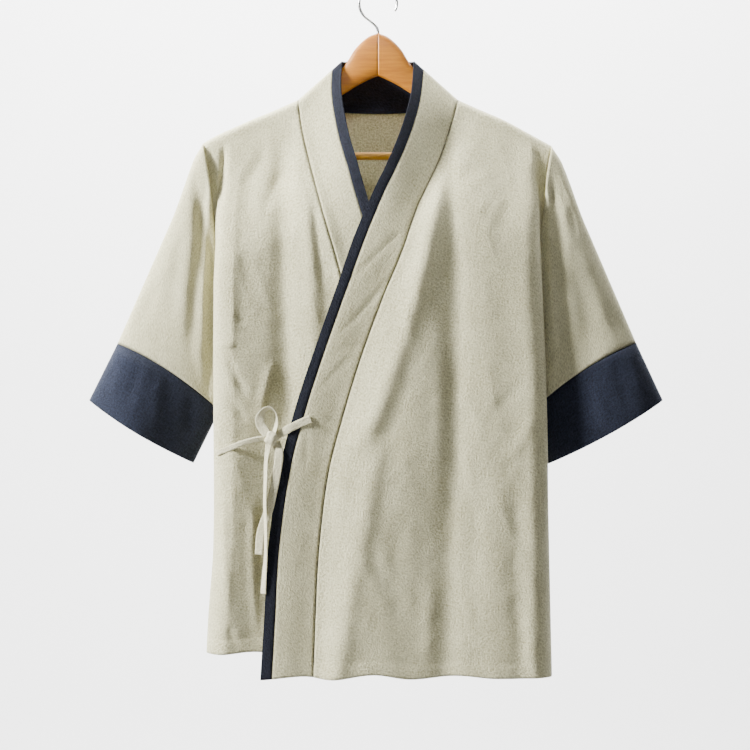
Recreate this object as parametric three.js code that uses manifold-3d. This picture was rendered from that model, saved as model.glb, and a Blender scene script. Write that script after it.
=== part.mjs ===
// Short-sleeved crossed-collar jacket hanging flat on a wooden hanger.
// Millimetres, +Z up, the front of the jacket faces -Y. The origin is the inner top of the hanger's hook.
// Left and right are the wearer's: the left front is the one that crosses over, on the +X side.
import * as THREE from 'three';
import { mergeVertices } from 'three/addons/utils/BufferGeometryUtils.js';
import Module from 'manifold-3d';

const wasm = await Module();
wasm.setup();

// Cloth walls and seams
const BODY_WALL = 1.5;
const BAND_WALL = 2.5;
const CUFF_WALL = 2.2;
const FACING_WALL = 1;
const TIE_WALL = 1.3;
const SEAM_PULL = 0.3; // each piece stops this far short of its seam line
const LAYER_GAP = 0.35; // between a piece and what lies on it

// Body
const NECK_HALF = 102; // half the width between the two neck points
const NECK_Z = -145.5;
const NECK_DIP = 9; // the back neck seam is this much lower at its middle
const TIP_X = 221;
const TIP_Z = -204;
const ARMPIT_Z = -497;
const RIDGE_ROUND = 8; // the cloth rounds over the hanger's arm by this much, front and back
const RIDGE_DROP = 10;
const SWELL_DROP = 180; // below the shoulder the body reaches its full depth over this height
const FRONT_DEPTH = 55;
const BACK_DEPTH = 60;
const LAP_STEP = 7.5; // the underlap lies this far behind the overlap
const LAP_DROP = 100;
const EDGE_ROUND = 26; // how far from the body's edge its front begins to turn round
const EDGE_EASE = 0.2; // share of the depth that is lost towards the edge
const LEFT_HEM_Z = -878;
const RIGHT_HEM_Z = -848;
// The right shoulder tip is a little higher and further out than the left one
const RIGHT_TIP = { x: 205, z: -204, wide: 38, tall: 45, out: 2.5, up: 3.5 };

// Collar: the band ends and the dark edging begins at this share of the whole width
const EDGING_START = 0.78;
const BACK_COLLAR_TOP = -90;
const BACK_COLLAR_DEPTH = 54;
const COLLAR_HALF = 46;
const COLLAR_SIDE_Y = -4;
const BAND_CROWN = 3;
const NECK_SQUARENESS = 0.85; // the neck's plan is a little squarer than an oval
const COLLAR_SIDE_Z = -96.5;

// The shoulder line, from the neck point to the tip
const SHOULDER = [
  { x: NECK_HALF, z: NECK_Z },
  { x: 131, z: -158.5 },
  { x: 160, z: -171 },
  { x: 190, z: -187 },
  { x: TIP_X, z: TIP_Z },
];

// Heights of the body's rows at its outer edge: close together where the cloth turns over the arm,
// at the shoulder tip and at the armpit. The rows down to the armpit are also the sleeve's columns.
const ARMHOLE_ROWS = [
  TIP_Z, -207, -212, -224, -249, -280, -315, -350, -385, -415, -445, -474, -489, ARMPIT_Z,
];
const LOWER_ROWS = [-520, -550, -585, -620, -660, -700, -745, -790, -835, LEFT_HEM_Z];
const BODY_ROWS = [...ARMHOLE_ROWS, ...LOWER_ROWS];

// Where the cloth ends at the side: the armhole seam above the armpit, the side seam below.
// It is tucked in behind the body's edge, where the sleeve's inner side lies.
const SIDE = [
  { z: TIP_Z, x: TIP_X, depth: 0 },
  { z: -207, x: 220.7, depth: 5 },
  { z: -212, x: 220, depth: 7.5 },
  { z: -224, x: 217, depth: 8.5 },
  { z: -249, x: 213.5, depth: 9 },
  { z: -304, x: 208, depth: 10 },
  { z: -374, x: 202, depth: 12 },
  { z: -434, x: 190, depth: 11 },
  { z: -474, x: 183, depth: 7 },
  { z: -489, x: 181, depth: 4 },
  { z: ARMPIT_Z, x: 180, depth: 0 },
  { z: -540, x: 180, depth: 0 },
  { z: -580, x: 186, depth: 0 },
  { z: -620, x: 198, depth: 0 },
  { z: -660, x: 208, depth: 0 },
  { z: -700, x: 210, depth: 0 },
  { z: -790, x: 213.5, depth: 0 },
  { z: LEFT_HEM_Z, x: 217, depth: 0 },
];

// Half the body's width at its edge
const LEFT_EDGE = [
  { z: TIP_Z, x: 193 },
  { z: -253, x: 199 },
  { z: -280, x: 204 },
  { z: -343, x: 205.5 },
  { z: -401, x: 208 },
  { z: -527, x: 213 },
  { z: -700, x: 217 },
  { z: LEFT_HEM_Z, x: 221 },
];
const RIGHT_EDGE = [
  { z: TIP_Z, x: 193 },
  { z: -243, x: 194.5 },
  { z: -287, x: 203 },
  { z: -351, x: 206 },
  { z: -400, x: 208 },
  { z: -710, x: 209 },
  { z: -803, x: 215.5 },
  { z: LEFT_HEM_Z, x: 219 },
];

// The crossed collar: the seam (x, z) and the free edge (edgeX, edgeZ) beside it, with its own depth
const LEFT_COLLAR = [
  { z: NECK_Z, x: 102, edgeX: COLLAR_HALF, edgeZ: COLLAR_SIDE_Z, edgeDepth: 4 },
  { z: -185, x: 90.5, edgeX: 41.5, edgeZ: -143, edgeDepth: 20 },
  { z: -224, x: 77, edgeX: 27.5, edgeZ: -191, edgeDepth: 35 },
  { z: -263, x: 59, edgeX: 8.5, edgeZ: -236, edgeDepth: 46 },
  { z: -285, x: 48.5, edgeX: -2.5, edgeZ: -258, edgeDepth: 51 },
  { z: -340, x: 30, edgeX: -29, edgeZ: -319.5, edgeDepth: 54.5 },
  { z: -398, x: 6, edgeX: -49, edgeZ: -377, edgeDepth: FRONT_DEPTH },
  { z: -476, x: -22.5, edgeX: -76.5, edgeZ: -455, edgeDepth: FRONT_DEPTH },
  { z: -550, x: -45, edgeX: -101.5, edgeZ: -530, edgeDepth: FRONT_DEPTH },
  { z: -621, x: -63, edgeX: -122.5, edgeZ: -610, edgeDepth: FRONT_DEPTH },
  { z: -715, x: -74.5, edgeX: -137.5, edgeZ: -711, edgeDepth: FRONT_DEPTH },
  { z: -799, x: -79, edgeX: -142.5, edgeZ: -799, edgeDepth: FRONT_DEPTH },
  { z: LEFT_HEM_Z, x: -81.5, edgeX: -147.5, edgeZ: LEFT_HEM_Z, edgeDepth: FRONT_DEPTH },
];
const RIGHT_COLLAR = [
  { z: NECK_Z, x: 102, edgeX: COLLAR_HALF, edgeZ: COLLAR_SIDE_Z, edgeDepth: 4 },
  { z: -182, x: 97, edgeX: 47, edgeZ: -135, edgeDepth: 18 },
  { z: -214, x: 90, edgeX: 38, edgeZ: -187, edgeDepth: 32 },
  { z: -254, x: 79.5, edgeX: 26.5, edgeZ: -226, edgeDepth: 40 },
  { z: -289, x: 70, edgeX: 17, edgeZ: -259, edgeDepth: 43.5 },
  { z: -313, x: 63, edgeX: 7.5, edgeZ: -289, edgeDepth: 46 },
  { z: -345, x: 53.5, edgeX: -6, edgeZ: -322, edgeDepth: 47.2 },
  { z: -390, x: 42, edgeX: -20, edgeZ: -368, edgeDepth: 47.5 },
  { z: -450, x: 27, edgeX: -36, edgeZ: -430, edgeDepth: 47.5 },
  { z: -550, x: 5, edgeX: -58, edgeZ: -533, edgeDepth: 47.5 },
  { z: -650, x: -12, edgeX: -75, edgeZ: -638, edgeDepth: 47.5 },
  { z: -750, x: -24, edgeX: -87, edgeZ: -744, edgeDepth: 47.5 },
  { z: RIGHT_HEM_Z, x: -30, edgeX: -93, edgeZ: RIGHT_HEM_Z, edgeDepth: 47.5 },
];

// The largest folds, each a soft ridge (rise over 0) or trough (under 0) that runs down from top to low.
// Its middle passes xTop, xMid and xLow; its half width goes from wideTop to wideLow.
const BELOW_HEM = -1000;
const LEFT_FOLDS = [
  { top: -225, low: -610, xTop: 84, xMid: 16, xLow: -38, wideTop: 10, wideLow: 12, rise: 5 },
  { top: -205, low: BELOW_HEM, xTop: 88, xMid: 60, xLow: 50, wideTop: 9, wideLow: 17, rise: -10 },
  { top: -205, low: BELOW_HEM, xTop: 114, xMid: 116, xLow: 136, wideTop: 13, wideLow: 19, rise: 6 },
  { top: -560, low: BELOW_HEM, xTop: -36, xMid: -46, xLow: -64, wideTop: 16, wideLow: 20, rise: 4 },
  { top: -520, low: BELOW_HEM, xTop: 22, xMid: 12, xLow: 8, wideTop: 12, wideLow: 18, rise: -4 },
  { top: -300, low: BELOW_HEM, xTop: 158, xMid: 166, xLow: 172, wideTop: 11, wideLow: 14, rise: -5 },
];
const RIGHT_FOLDS = [
  { top: -160, low: -540, xTop: -104, xMid: -91, xLow: -104, wideTop: 11, wideLow: 14, rise: 6 },
  { top: -290, low: -600, xTop: -127, xMid: -126, xLow: -130, wideTop: 10, wideLow: 20, rise: -9 },
  { top: -215, low: -480, xTop: -186, xMid: -190, xLow: -192, wideTop: 12, wideLow: 12, rise: 4 },
  { top: -240, low: -450, xTop: -158, xMid: -158, xLow: -160, wideTop: 16, wideLow: 14, rise: -4 },
  { top: -580, low: -850, xTop: -166, xMid: -168, xLow: -172, wideTop: 16, wideLow: 20, rise: -8 },
];
const BACK_FOLDS = [
  { top: -230, low: BELOW_HEM, xTop: 40, xMid: 34, xLow: 26, wideTop: 15, wideLow: 22, rise: -8 },
  { top: -250, low: BELOW_HEM, xTop: -48, xMid: -52, xLow: -60, wideTop: 14, wideLow: 20, rise: -7 },
  { top: -220, low: BELOW_HEM, xTop: 96, xMid: 104, xLow: 112, wideTop: 14, wideLow: 19, rise: 6 },
  { top: -240, low: BELOW_HEM, xTop: -104, xMid: -108, xLow: -122, wideTop: 14, wideLow: 20, rise: 6 },
  { top: -320, low: BELOW_HEM, xTop: 152, xMid: 158, xLow: 166, wideTop: 10, wideLow: 14, rise: -5 },
  { top: -340, low: BELOW_HEM, xTop: -154, xMid: -162, xLow: -170, wideTop: 10, wideLow: 15, rise: -5 },
];
const FOLD_FADE = 60; // a fold rises to its full height over this length
const BAND_FOLD_SHARE = 0.35; // the collar is stiffer than the body and follows its folds only in part

// Sleeves: the cuff's seam and its mouth, each from the outer end to the inner end
const LEFT_SLEEVE = {
  seamOut: [329, -455],
  seamIn: [200, -538],
  mouthOut: [363, -528],
  mouthIn: [217, -609],
};
const RIGHT_SLEEVE = {
  seamOut: [332, -456],
  seamIn: [202, -541],
  mouthOut: [368, -528],
  mouthIn: [235, -608],
};
const SLEEVE_STEPS = [0, 0.03, 0.07, 0.12, 0.19, 0.28, 0.4, 0.54, 0.7, 0.85, 1];
const CUFF_STEPS = [0, 0.3, 0.65, 1];
const CUFF_DEPTH = 25; // half the depth of the sleeve at the cuff
const INNER_THINNING = 0.5; // share of that depth that is lost at the underarm
const SEAM_BOW = 9; // the cuff's seam is bowed up by this much, and its mouth down
const MOUTH_BOW = -4;
const SLEEVE_SWELL = 15; // how far the sleeve comes forward once it is clear of the body's edge
const SLEEVE_SWELL_RUN = 13;
const SLEEVE_TROUGH = { start: 16, wide: 8, deep: 6 }; // a long trough beside that swell
const SWELL_END = 0.25; // the swell fades from this share of the sleeve's length
const TROUGH_DRIFT = 18; // the trough moves out by this much along the sleeve
const TROUGH_END = 0.4;
const SHOULDER_CAP = { full: 4, low: -224 }; // the sleeve's top is this much fuller, down to this height
const ARMHOLE_STEP = 1.1; // the sleeve starts this far outside the armhole's edge
const ARMPIT_LIFT = { start: -465, up: 2.5, out: 6, run: 0.15 }; // the underarm is clear of the side

// Ties: x, z, how far their outer face lies before the cloth behind them, width and turn in degrees
const LEFT_STRAP = [
  { x: -84, z: -551, before: 1.8, wide: 14, turn: 0 },
  { x: -92, z: -553, before: 1.8, wide: 14, turn: 0 },
  { x: -101, z: -557, before: 1.9, wide: 14, turn: 0 },
  { x: -110, z: -562, before: 3.6, wide: 14, turn: 0 },
  { x: -118, z: -567, before: 13.8, wide: 13, turn: 0 },
  { x: -127, z: -572, before: 13.5, wide: 12, turn: 0 },
];
const RIGHT_STRAP = [
  { x: -204, z: -595, before: 1.75, wide: 6, turn: 0 },
  { x: -199, z: -593, before: 2.1, wide: 6, turn: 0 },
  { x: -186, z: -588, before: 4, wide: 6, turn: 25 },
  { x: -168, z: -581, before: 11, wide: 7, turn: 60 },
  { x: -152, z: -577, before: 13, wide: 7, turn: 50 },
  { x: -137, z: -576, before: 13.5, wide: 8, turn: 30 },
];
const LOOP = [
  { x: -138, z: -571, before: 18.5, wide: 10, turn: 10 },
  { x: -146, z: -562, before: 17.5, wide: 11, turn: 15 },
  { x: -147, z: -550, before: 19, wide: 11, turn: 30 },
  { x: -141, z: -540, before: 21, wide: 11, turn: 60 },
  { x: -132, z: -539, before: 20, wide: 11, turn: 80 },
  { x: -126, z: -548, before: 17, wide: 10, turn: 80 },
  { x: -126, z: -559, before: 16.5, wide: 9, turn: 70 },
  { x: -131, z: -570, before: 18.5, wide: 8, turn: 60 },
];
const LONG_TAIL = [
  { x: -137, z: -583, before: 16, wide: 8, turn: 10 },
  { x: -140, z: -602, before: 16.5, wide: 6, turn: 35 },
  { x: -141, z: -625, before: 17.5, wide: 7, turn: 50 },
  { x: -142, z: -655, before: 18, wide: 7, turn: 55 },
  { x: -141, z: -690, before: 16, wide: 7, turn: 55 },
  { x: -141, z: -722, before: 14.5, wide: 7, turn: 50 },
  { x: -143, z: -750, before: 14, wide: 8, turn: 40 },
  { x: -144, z: -770, before: 13.5, wide: 8, turn: 30 },
];
const SHORT_TAIL = [
  { x: -128, z: -580, before: 12, wide: 11, turn: 5 },
  { x: -124, z: -594, before: 12.5, wide: 11, turn: 0 },
  { x: -126, z: -615, before: 13.6, wide: 11, turn: 0 },
  { x: -131, z: -640, before: 13.6, wide: 11, turn: 0 },
  { x: -136.5, z: -664, before: 13.4, wide: 11, turn: 0 },
  { x: -147, z: -694, before: 5, wide: 11, turn: 5 },
  { x: -150, z: -722, before: 5, wide: 10, turn: 10 },
];
const KNOT = { x: -133, z: -575, before: 15.5, halfX: 9, halfY: 6.5, halfZ: 10, lean: 25 };

// Hanger: two wooden arms, a round bar and a wire hook
const ARM = [
  { x: 0.15, top: -60, low: -115, half: 7 },
  { x: 14, top: -66, low: -121, half: 7 },
  { x: 29, top: -80.5, low: -129, half: 6.5 },
  { x: 40, top: -98, low: -136, half: 5.5 },
  { x: 52, top: -114, low: -143, half: 5 },
  { x: 66, top: -130, low: -151, half: 5 },
  { x: 84, top: -148, low: -165, half: 5 },
  { x: 102, top: -160.5, low: -179, half: 5 },
  { x: 131, top: -163.5, low: -192, half: 6 },
  { x: 160, top: -175.5, low: -206, half: 6 },
  { x: 190, top: -191.5, low: -222, half: 5.2 },
  { x: 208, top: -202, low: -229, half: 4 },
  { x: 214, top: -208, low: -226, half: 2.4 },
];
const ARM_SIDES = 16;
const BAR = { z: -217, radius: 5, reach: 192, socket: 0.3, sides: 16 };
const HOOK = { wire: 1.75, radius: 24, start: -25, end: 238, foot: -84, socket: 0.3, sides: 5 };

const COLOURS = {
  cloth: { color: 0xb9b6a3, roughness: 0.92, metalness: 0 },
  navy: { color: 0x3c4557, roughness: 0.9, metalness: 0 },
  wood: { color: 0xb97b31, roughness: 0.5, metalness: 0 },
  steel: { color: 0xb4b4b0, roughness: 0.3, metalness: 1 },
};

const jacket = new THREE.Group();

function clamp(value) {
  return Math.min(1, Math.max(0, value));
}

function ease(value) {
  const t = clamp(value);
  return t * t * (3 - 2 * t);
}

function mix(from, to, share) {
  return from + (to - from) * share;
}

// The value of one column of a table at a height, on a smooth curve through its rows
function column(rows, key, at, name) {
  const down = rows[0][key] > rows[rows.length - 1][key] ? -1 : 1;
  let i = rows.findIndex((row, n) => n > 0 && (row[key] - at) * down >= 0);
  if (i < 0) i = rows.length - 1;
  const [a, b] = [rows[i - 1], rows[i]];
  const slope = (n) => {
    const before = rows[Math.max(n - 1, 0)];
    const after = rows[Math.min(n + 1, rows.length - 1)];
    return (after[name] - before[name]) / (after[key] - before[key]);
  };
  const run = b[key] - a[key];
  const t = clamp((at - a[key]) / run);
  const bulge = (1 - t) * slope(i - 1) * run - t * slope(i) * run + (2 * t - 1) * (b[name] - a[name]);
  return mix(a[name], b[name], t) + t * (1 - t) * bulge;
}

// How far the folds lift the cloth at a place
function relief(folds, x, z) {
  let lift = 0;
  for (const fold of folds) {
    const t = clamp((fold.top - z) / (fold.top - fold.low));
    const inside = ease((fold.top - z) / FOLD_FADE) * ease((z - fold.low) / FOLD_FADE);
    const bend = 4 * (fold.xMid - (fold.xTop + fold.xLow) / 2) * t * (1 - t);
    const middle = mix(fold.xTop, fold.xLow, t) + bend;
    const wide = mix(fold.wideTop, fold.wideLow, t);
    lift += fold.rise * inside * Math.exp(-(((x - middle) / wide) ** 2));
  }
  return lift;
}

function shoulderZ(x) {
  return x < NECK_HALF ? NECK_Z : column(SHOULDER, 'x', Math.min(x, TIP_X), 'z');
}

// Share of the full depth at a drop below the shoulder line
function depthShare(drop, depth) {
  const over = clamp(drop / RIDGE_DROP);
  const round = RIDGE_ROUND * Math.sqrt(1 - (1 - over) ** 2);
  return (round + (depth - RIDGE_ROUND) * ease(drop / SWELL_DROP)) / depth;
}

// The two fronts. side is +1 for the left front and -1 for the right one, which lies behind it.
const LEFT = { side: 1, collar: LEFT_COLLAR, edge: LEFT_EDGE, hem: LEFT_HEM_Z, sleeve: LEFT_SLEEVE };
const RIGHT = { side: -1, collar: RIGHT_COLLAR, edge: RIGHT_EDGE, hem: RIGHT_HEM_Z, sleeve: RIGHT_SLEEVE };

// x is counted from the middle towards the front's own side
function frontLift(front, x, z, foldShare) {
  const own = foldShare * relief(front.side > 0 ? LEFT_FOLDS : RIGHT_FOLDS, x * front.side, z);
  if (front.side > 0) return own;
  const covered = ease((-x - column(LEFT_COLLAR, 'edgeZ', z, 'edgeX')) / 25);
  return mix(own, Math.min(0, relief(LEFT_FOLDS, -x, z)), covered);
}

function baseDepth(front, x, z) {
  const drop = shoulderZ(Math.abs(x)) - z;
  const step = front.side > 0 ? 0 : LAP_STEP * ease(drop / LAP_DROP);
  const turn = column(front.edge, 'z', z, 'x') - EDGE_ROUND;
  const eased = 1 - EDGE_EASE * ease((x - 100) / (turn - 100)) * ease(drop / LAP_DROP);
  return (FRONT_DEPTH * depthShare(drop, FRONT_DEPTH) - step) * eased;
}

// How much of the depth the turn at the body's edge takes up
function edgeRound(depth, z) {
  return depth * mix(0.4, 0.75, ease((-z - 560) / 120));
}

// From the flat of the body, round its edge and back in to the seam.
// Returns half the body's width and its depth at each step.
function edgeTurn(edgeX, depth, drop, z, seam, steps) {
  const round = edgeRound(depth, z) * ease(drop / 50);
  const points = [];
  for (let i = 1; i <= steps; i += 1) {
    const angle = (i / steps) * (Math.PI / 2);
    points.push([edgeX - EDGE_ROUND * (1 - Math.sin(angle)), depth - round * (1 - Math.cos(angle))]);
  }
  for (let i = 1; i <= steps; i += 1) {
    const share = i / steps;
    points.push([
      mix(seam.x, edgeX, Math.cos((share * Math.PI) / 2)),
      mix(depth - round, seam.depth, share),
    ]);
  }
  return points;
}

function sideSeam(z, edgeX) {
  const x = Math.min(column(SIDE, 'z', z, 'x'), z < -640 ? edgeX : Infinity);
  const depth = z <= ARMPIT_Z ? 0 : column(SIDE, 'z', z, 'depth');
  return { x, depth };
}

// A point of the body or a sleeve, where x is counted towards the front's own side
function placed(front, x, y, z) {
  if (front.side > 0) return new THREE.Vector3(x, y, z);
  const aside = (x - RIGHT_TIP.x) / RIGHT_TIP.wide;
  const above = (z - RIGHT_TIP.z) / RIGHT_TIP.tall;
  const near = Math.exp(-(aside ** 2) - above ** 2);
  return new THREE.Vector3(-(x + RIGHT_TIP.out * near), y, z + RIGHT_TIP.up * near);
}

const FLAT_COLUMNS = 11;
const TURN_COLUMNS = 3;

// One front from its collar seam to its armhole and side seam
function frontGrid(front) {
  const last = FLAT_COLUMNS + 2 * TURN_COLUMNS;
  let ridge = [];
  return BODY_ROWS.map((rowZ) => {
    const down = (rowZ - TIP_Z) / (LEFT_HEM_Z - TIP_Z);
    const outZ = mix(TIP_Z, front.hem, down);
    const inZ = mix(NECK_Z, front.hem, down);
    const seamX = column(front.collar, 'z', inZ, 'x');
    const armhole = ARMHOLE_ROWS.includes(rowZ) ? rowZ : outZ;
    const edgeX = column(front.edge, 'z', armhole, 'x');
    const at = (n, x) => {
      if (rowZ === TIP_Z) return shoulderZ(x);
      const bow = ridge[n] - mix(NECK_Z, TIP_Z, n / last);
      return mix(inZ, armhole, n / last) + bow * (1 - down) ** 4;
    };
    const row = [];
    for (let n = 0; n <= FLAT_COLUMNS; n += 1) {
      const x = mix(seamX, edgeX - EDGE_ROUND, n / FLAT_COLUMNS);
      const z = at(n, x);
      const lift = frontLift(front, x, z, n === 0 ? BAND_FOLD_SHARE : 1);
      const depth = rowZ === TIP_Z ? 0 : baseDepth(front, x, z) + lift;
      row.push([x, depth, z]);
    }
    const [, flatDepth, flatZ] = row[FLAT_COLUMNS];
    const drop = shoulderZ(edgeX) - flatZ;
    const seam = sideSeam(armhole, edgeX);
    edgeTurn(edgeX, flatDepth, drop, armhole, seam, TURN_COLUMNS).forEach(([x, depth], n) => {
      row.push([x, rowZ === TIP_Z ? 0 : depth, at(FLAT_COLUMNS + 1 + n, x)]);
    });
    if (rowZ === TIP_Z) ridge = row.map(([, , z]) => z);
    return row.map(([x, depth, z]) => placed(front, x, -depth, z));
  });
}

// The collar beside a front, between two shares of its width
function collarGrid(front, from, to, columns) {
  return BODY_ROWS.map((rowZ) => {
    const down = (rowZ - TIP_Z) / (LEFT_HEM_Z - TIP_Z);
    const z = mix(NECK_Z, front.hem, down);
    const at = (name) => column(front.collar, 'z', z, name);
    const seamDepth = rowZ === TIP_Z ? 0 : baseDepth(front, at('x'), z);
    const row = [];
    for (let n = 0; n <= columns; n += 1) {
      const share = mix(from, to, n / columns);
      const x = mix(at('x'), at('edgeX'), share);
      const height = mix(z, at('edgeZ'), share);
      const settled = share > 0 ? ease(down * 6) : 1;
      const lift = rowZ === TIP_Z ? 0 : frontLift(front, x, height, BAND_FOLD_SHARE) * settled;
      const crown = BAND_CROWN * share * (1 - share) * ease(down * 6);
      const depth = mix(seamDepth, at('edgeDepth'), share) + lift + crown;
      row.push(new THREE.Vector3(x * front.side, -depth, height));
    }
    return row;
  });
}

const NECK_ANGLES = [0, 15, 30, 45, 60, 75, 90, 105, 120, 135, 150, 165, 180];

// The collar round the back of the neck, from the left neck point to the right one
function neckGrid(from, to, columns) {
  return NECK_ANGLES.map((degrees) => {
    const angle = THREE.MathUtils.degToRad(degrees);
    const row = [];
    for (let n = 0; n <= columns; n += 1) {
      const share = mix(from, to, n / columns);
      const across = mix(NECK_HALF, COLLAR_HALF, share);
      const back = mix(BACK_DEPTH, BACK_COLLAR_DEPTH, share);
      const seamZ = NECK_Z - NECK_DIP * Math.sin(angle);
      const topZ = mix(COLLAR_SIDE_Z, BACK_COLLAR_TOP, Math.sin(angle));
      const crown = BAND_CROWN * share * (1 - share);
      const round = Math.sin(angle);
      row.push(new THREE.Vector3(
        across * Math.cos(angle),
        COLLAR_SIDE_Y * share * (1 - round) + (back + crown) * round ** NECK_SQUARENESS,
        mix(seamZ, topZ, share),
      ));
    }
    return row;
  });
}

// Half of the back's columns from the middle to the neck point follow the neck seam, the rest the shoulder
function backGrid() {
  return BODY_ROWS.map((rowZ) => {
    const down = (rowZ - TIP_Z) / (LEFT_HEM_Z - TIP_Z);
    const half = (front) => {
      const hem = (LEFT_HEM_Z + RIGHT_HEM_Z) / 2;
      const outHem = front.hem + 2;
      const outZ = ARMHOLE_ROWS.includes(rowZ) ? rowZ : mix(TIP_Z, outHem, down);
      const edgeX = column(front.edge, 'z', outZ, 'x');
      const topTurn = column(front.edge, 'z', TIP_Z, 'x') - EDGE_ROUND;
      const turn = edgeX - EDGE_ROUND;
      const shoulderXs = [1, 2, 3, 4].map((n) => mix(NECK_HALF, topTurn, n / 4));
      const neckXs = NECK_ANGLES.filter((a) => a <= 90).reverse()
        .map((a) => NECK_HALF * Math.cos(THREE.MathUtils.degToRad(a)));
      const row = [...neckXs, ...shoulderXs].map((topX, n) => {
        const neck = topX <= NECK_HALF;
        const arc = Math.sqrt(Math.max(0, 1 - (topX / NECK_HALF) ** 2));
        const topZ = neck ? NECK_Z - NECK_DIP * arc : shoulderZ(topX);
        const topDepth = neck ? BACK_DEPTH * arc ** NECK_SQUARENESS : 0;
        const x = topX * (turn / topTurn);
        const z = mix(topZ, mix(hem, outHem, n / (neckXs.length + shoulderXs.length)), down);
        const drop = topZ - z;
        const eased = 1 - EDGE_EASE * ease((x - 100) / (turn - 100)) * ease(drop / LAP_DROP);
        const lift = relief(BACK_FOLDS, x * front.side, z) * ease(drop / LAP_DROP);
        const depth = mix(topDepth, BACK_DEPTH, depthShare(drop, BACK_DEPTH)) * eased + lift;
        return [x, depth, z];
      });
      const [, flatDepth, flatZ] = row[row.length - 1];
      const drop = shoulderZ(edgeX) - flatZ;
      const seam = sideSeam(outZ, edgeX);
      const turned = edgeTurn(edgeX, flatDepth, drop, outZ, seam, TURN_COLUMNS);
      turned.forEach(([x, depth], n) => {
        const z = mix(flatZ, outZ, (n + 1) / turned.length);
        row.push(rowZ === TIP_Z ? [x, 0, shoulderZ(x)] : [x, depth, z]);
      });
      return row.map(([x, depth, z]) => placed(front, x, depth, z));
    };
    const left = half(LEFT);
    const right = half(RIGHT);
    return [...right.reverse(), ...left.slice(1)];
  });
}

// One ring of the cuff: the outer end, the inner end, how far its middle is bowed, its half depth
function cuffRing(out, inner, bow) {
  const share = ARMHOLE_ROWS.map((z) => (TIP_Z - z) / (TIP_Z - ARMPIT_Z));
  const half = share.map((a) => {
    const angle = Math.acos(1 - 2 * a);
    const depth = CUFF_DEPTH * Math.sin(angle) * (1 - INNER_THINNING * a * a);
    return [mix(out[0], inner[0], a), depth, mix(out[1], inner[1], a) + bow * 4 * a * (1 - a)];
  });
  return ringFromHalf(half);
}

// A closed ring from the columns of its front half, top to bottom
function ringFromHalf(half) {
  const front = half.map(([x, depth, z]) => [x, -depth, z]);
  const back = half.slice(1, -1).reverse();
  return [...front, ...back];
}

// How near a height is to the armpit
function nearArmpit(z) {
  return ease((ARMPIT_LIFT.start - z) / (ARMPIT_LIFT.start - ARMPIT_Z));
}

function sleeveGrid(front) {
  const { seamOut, seamIn } = front.sleeve;
  const cuff = cuffRing(seamOut, seamIn, SEAM_BOW);
  const armhole = ringFromHalf(ARMHOLE_ROWS.map((z) => {
    const seam = sideSeam(z, TIP_X);
    const low = nearArmpit(z);
    const depth = Math.max(0, seam.depth - ARMHOLE_STEP / 2);
    return [seam.x + ARMHOLE_STEP + low, depth, z + ARMPIT_LIFT.up * low];
  }));
  return SLEEVE_STEPS.map((step) => armhole.map(([startX, startY, startZ], n) => {
    const [endX, endY, endZ] = cuff[n];
    const z = mix(startZ, endZ, step);
    const rim = Math.abs(endY) / CUFF_DEPTH;
    const lifted = ARMPIT_LIFT.out * nearArmpit(startZ) * ease(step / ARMPIT_LIFT.run) * (1 - step);
    const capped = startZ >= SHOULDER_CAP.low ? SHOULDER_CAP.full * (1 - rim) : 0;
    const capRun = ease(step / 0.08) * (1 - ease((step - 0.1) / 0.3));
    const x = mix(startX, endX, step) + lifted + capped * capRun;
    const past = x - column(front.edge, 'z', z, 'x') - 1;
    const swellRun = 1 - ease((step - SWELL_END) / (1 - SWELL_END));
    const swell = SLEEVE_SWELL * ease(past / SLEEVE_SWELL_RUN) * swellRun;
    const aside = (past - SLEEVE_TROUGH.start - TROUGH_DRIFT * step) / SLEEVE_TROUGH.wide;
    const troughRun = ease(step / 0.1) * (1 - ease((step - TROUGH_END) / 0.5));
    const trough = SLEEVE_TROUGH.deep * Math.exp(-(aside ** 2)) * troughRun;
    const depth = mix(Math.abs(startY), Math.abs(endY), step) + rim * (swell - trough);
    return placed(front, x, Math.sign(startY + endY) * depth, z);
  }));
}

function cuffGrid(front) {
  const { seamOut, seamIn, mouthOut, mouthIn } = front.sleeve;
  return CUFF_STEPS.map((step) => {
    const out = [mix(seamOut[0], mouthOut[0], step), mix(seamOut[1], mouthOut[1], step)];
    const inner = [mix(seamIn[0], mouthIn[0], step), mix(seamIn[1], mouthIn[1], step)];
    return cuffRing(out, inner, mix(SEAM_BOW, MOUTH_BOW, step))
      .map(([x, y, z]) => new THREE.Vector3(x * front.side, y, z));
  });
}

// The depth of the cloth that shows at a place on the right half of the front: the overlap's collar,
// the underlap beside it, or the underlap's turned edge
function clothDepth(x, z) {
  const seamX = column(LEFT_COLLAR, 'z', z, 'x');
  const freeX = column(LEFT_COLLAR, 'edgeZ', z, 'edgeX');
  if (x > freeX) {
    const share = clamp((seamX - x) / (seamX - freeX));
    const crown = BAND_CROWN * share * (1 - share);
    return baseDepth(LEFT, x, z) + frontLift(LEFT, x, z, BAND_FOLD_SHARE) + crown;
  }
  const edgeX = column(RIGHT_EDGE, 'z', z, 'x');
  const turned = clamp((-x - edgeX + EDGE_ROUND) / EDGE_ROUND);
  const flat = baseDepth(RIGHT, -x, z) + frontLift(RIGHT, -x, z, 1);
  return flat - edgeRound(flat, z) * (1 - Math.sqrt(1 - turned ** 2));
}

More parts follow.
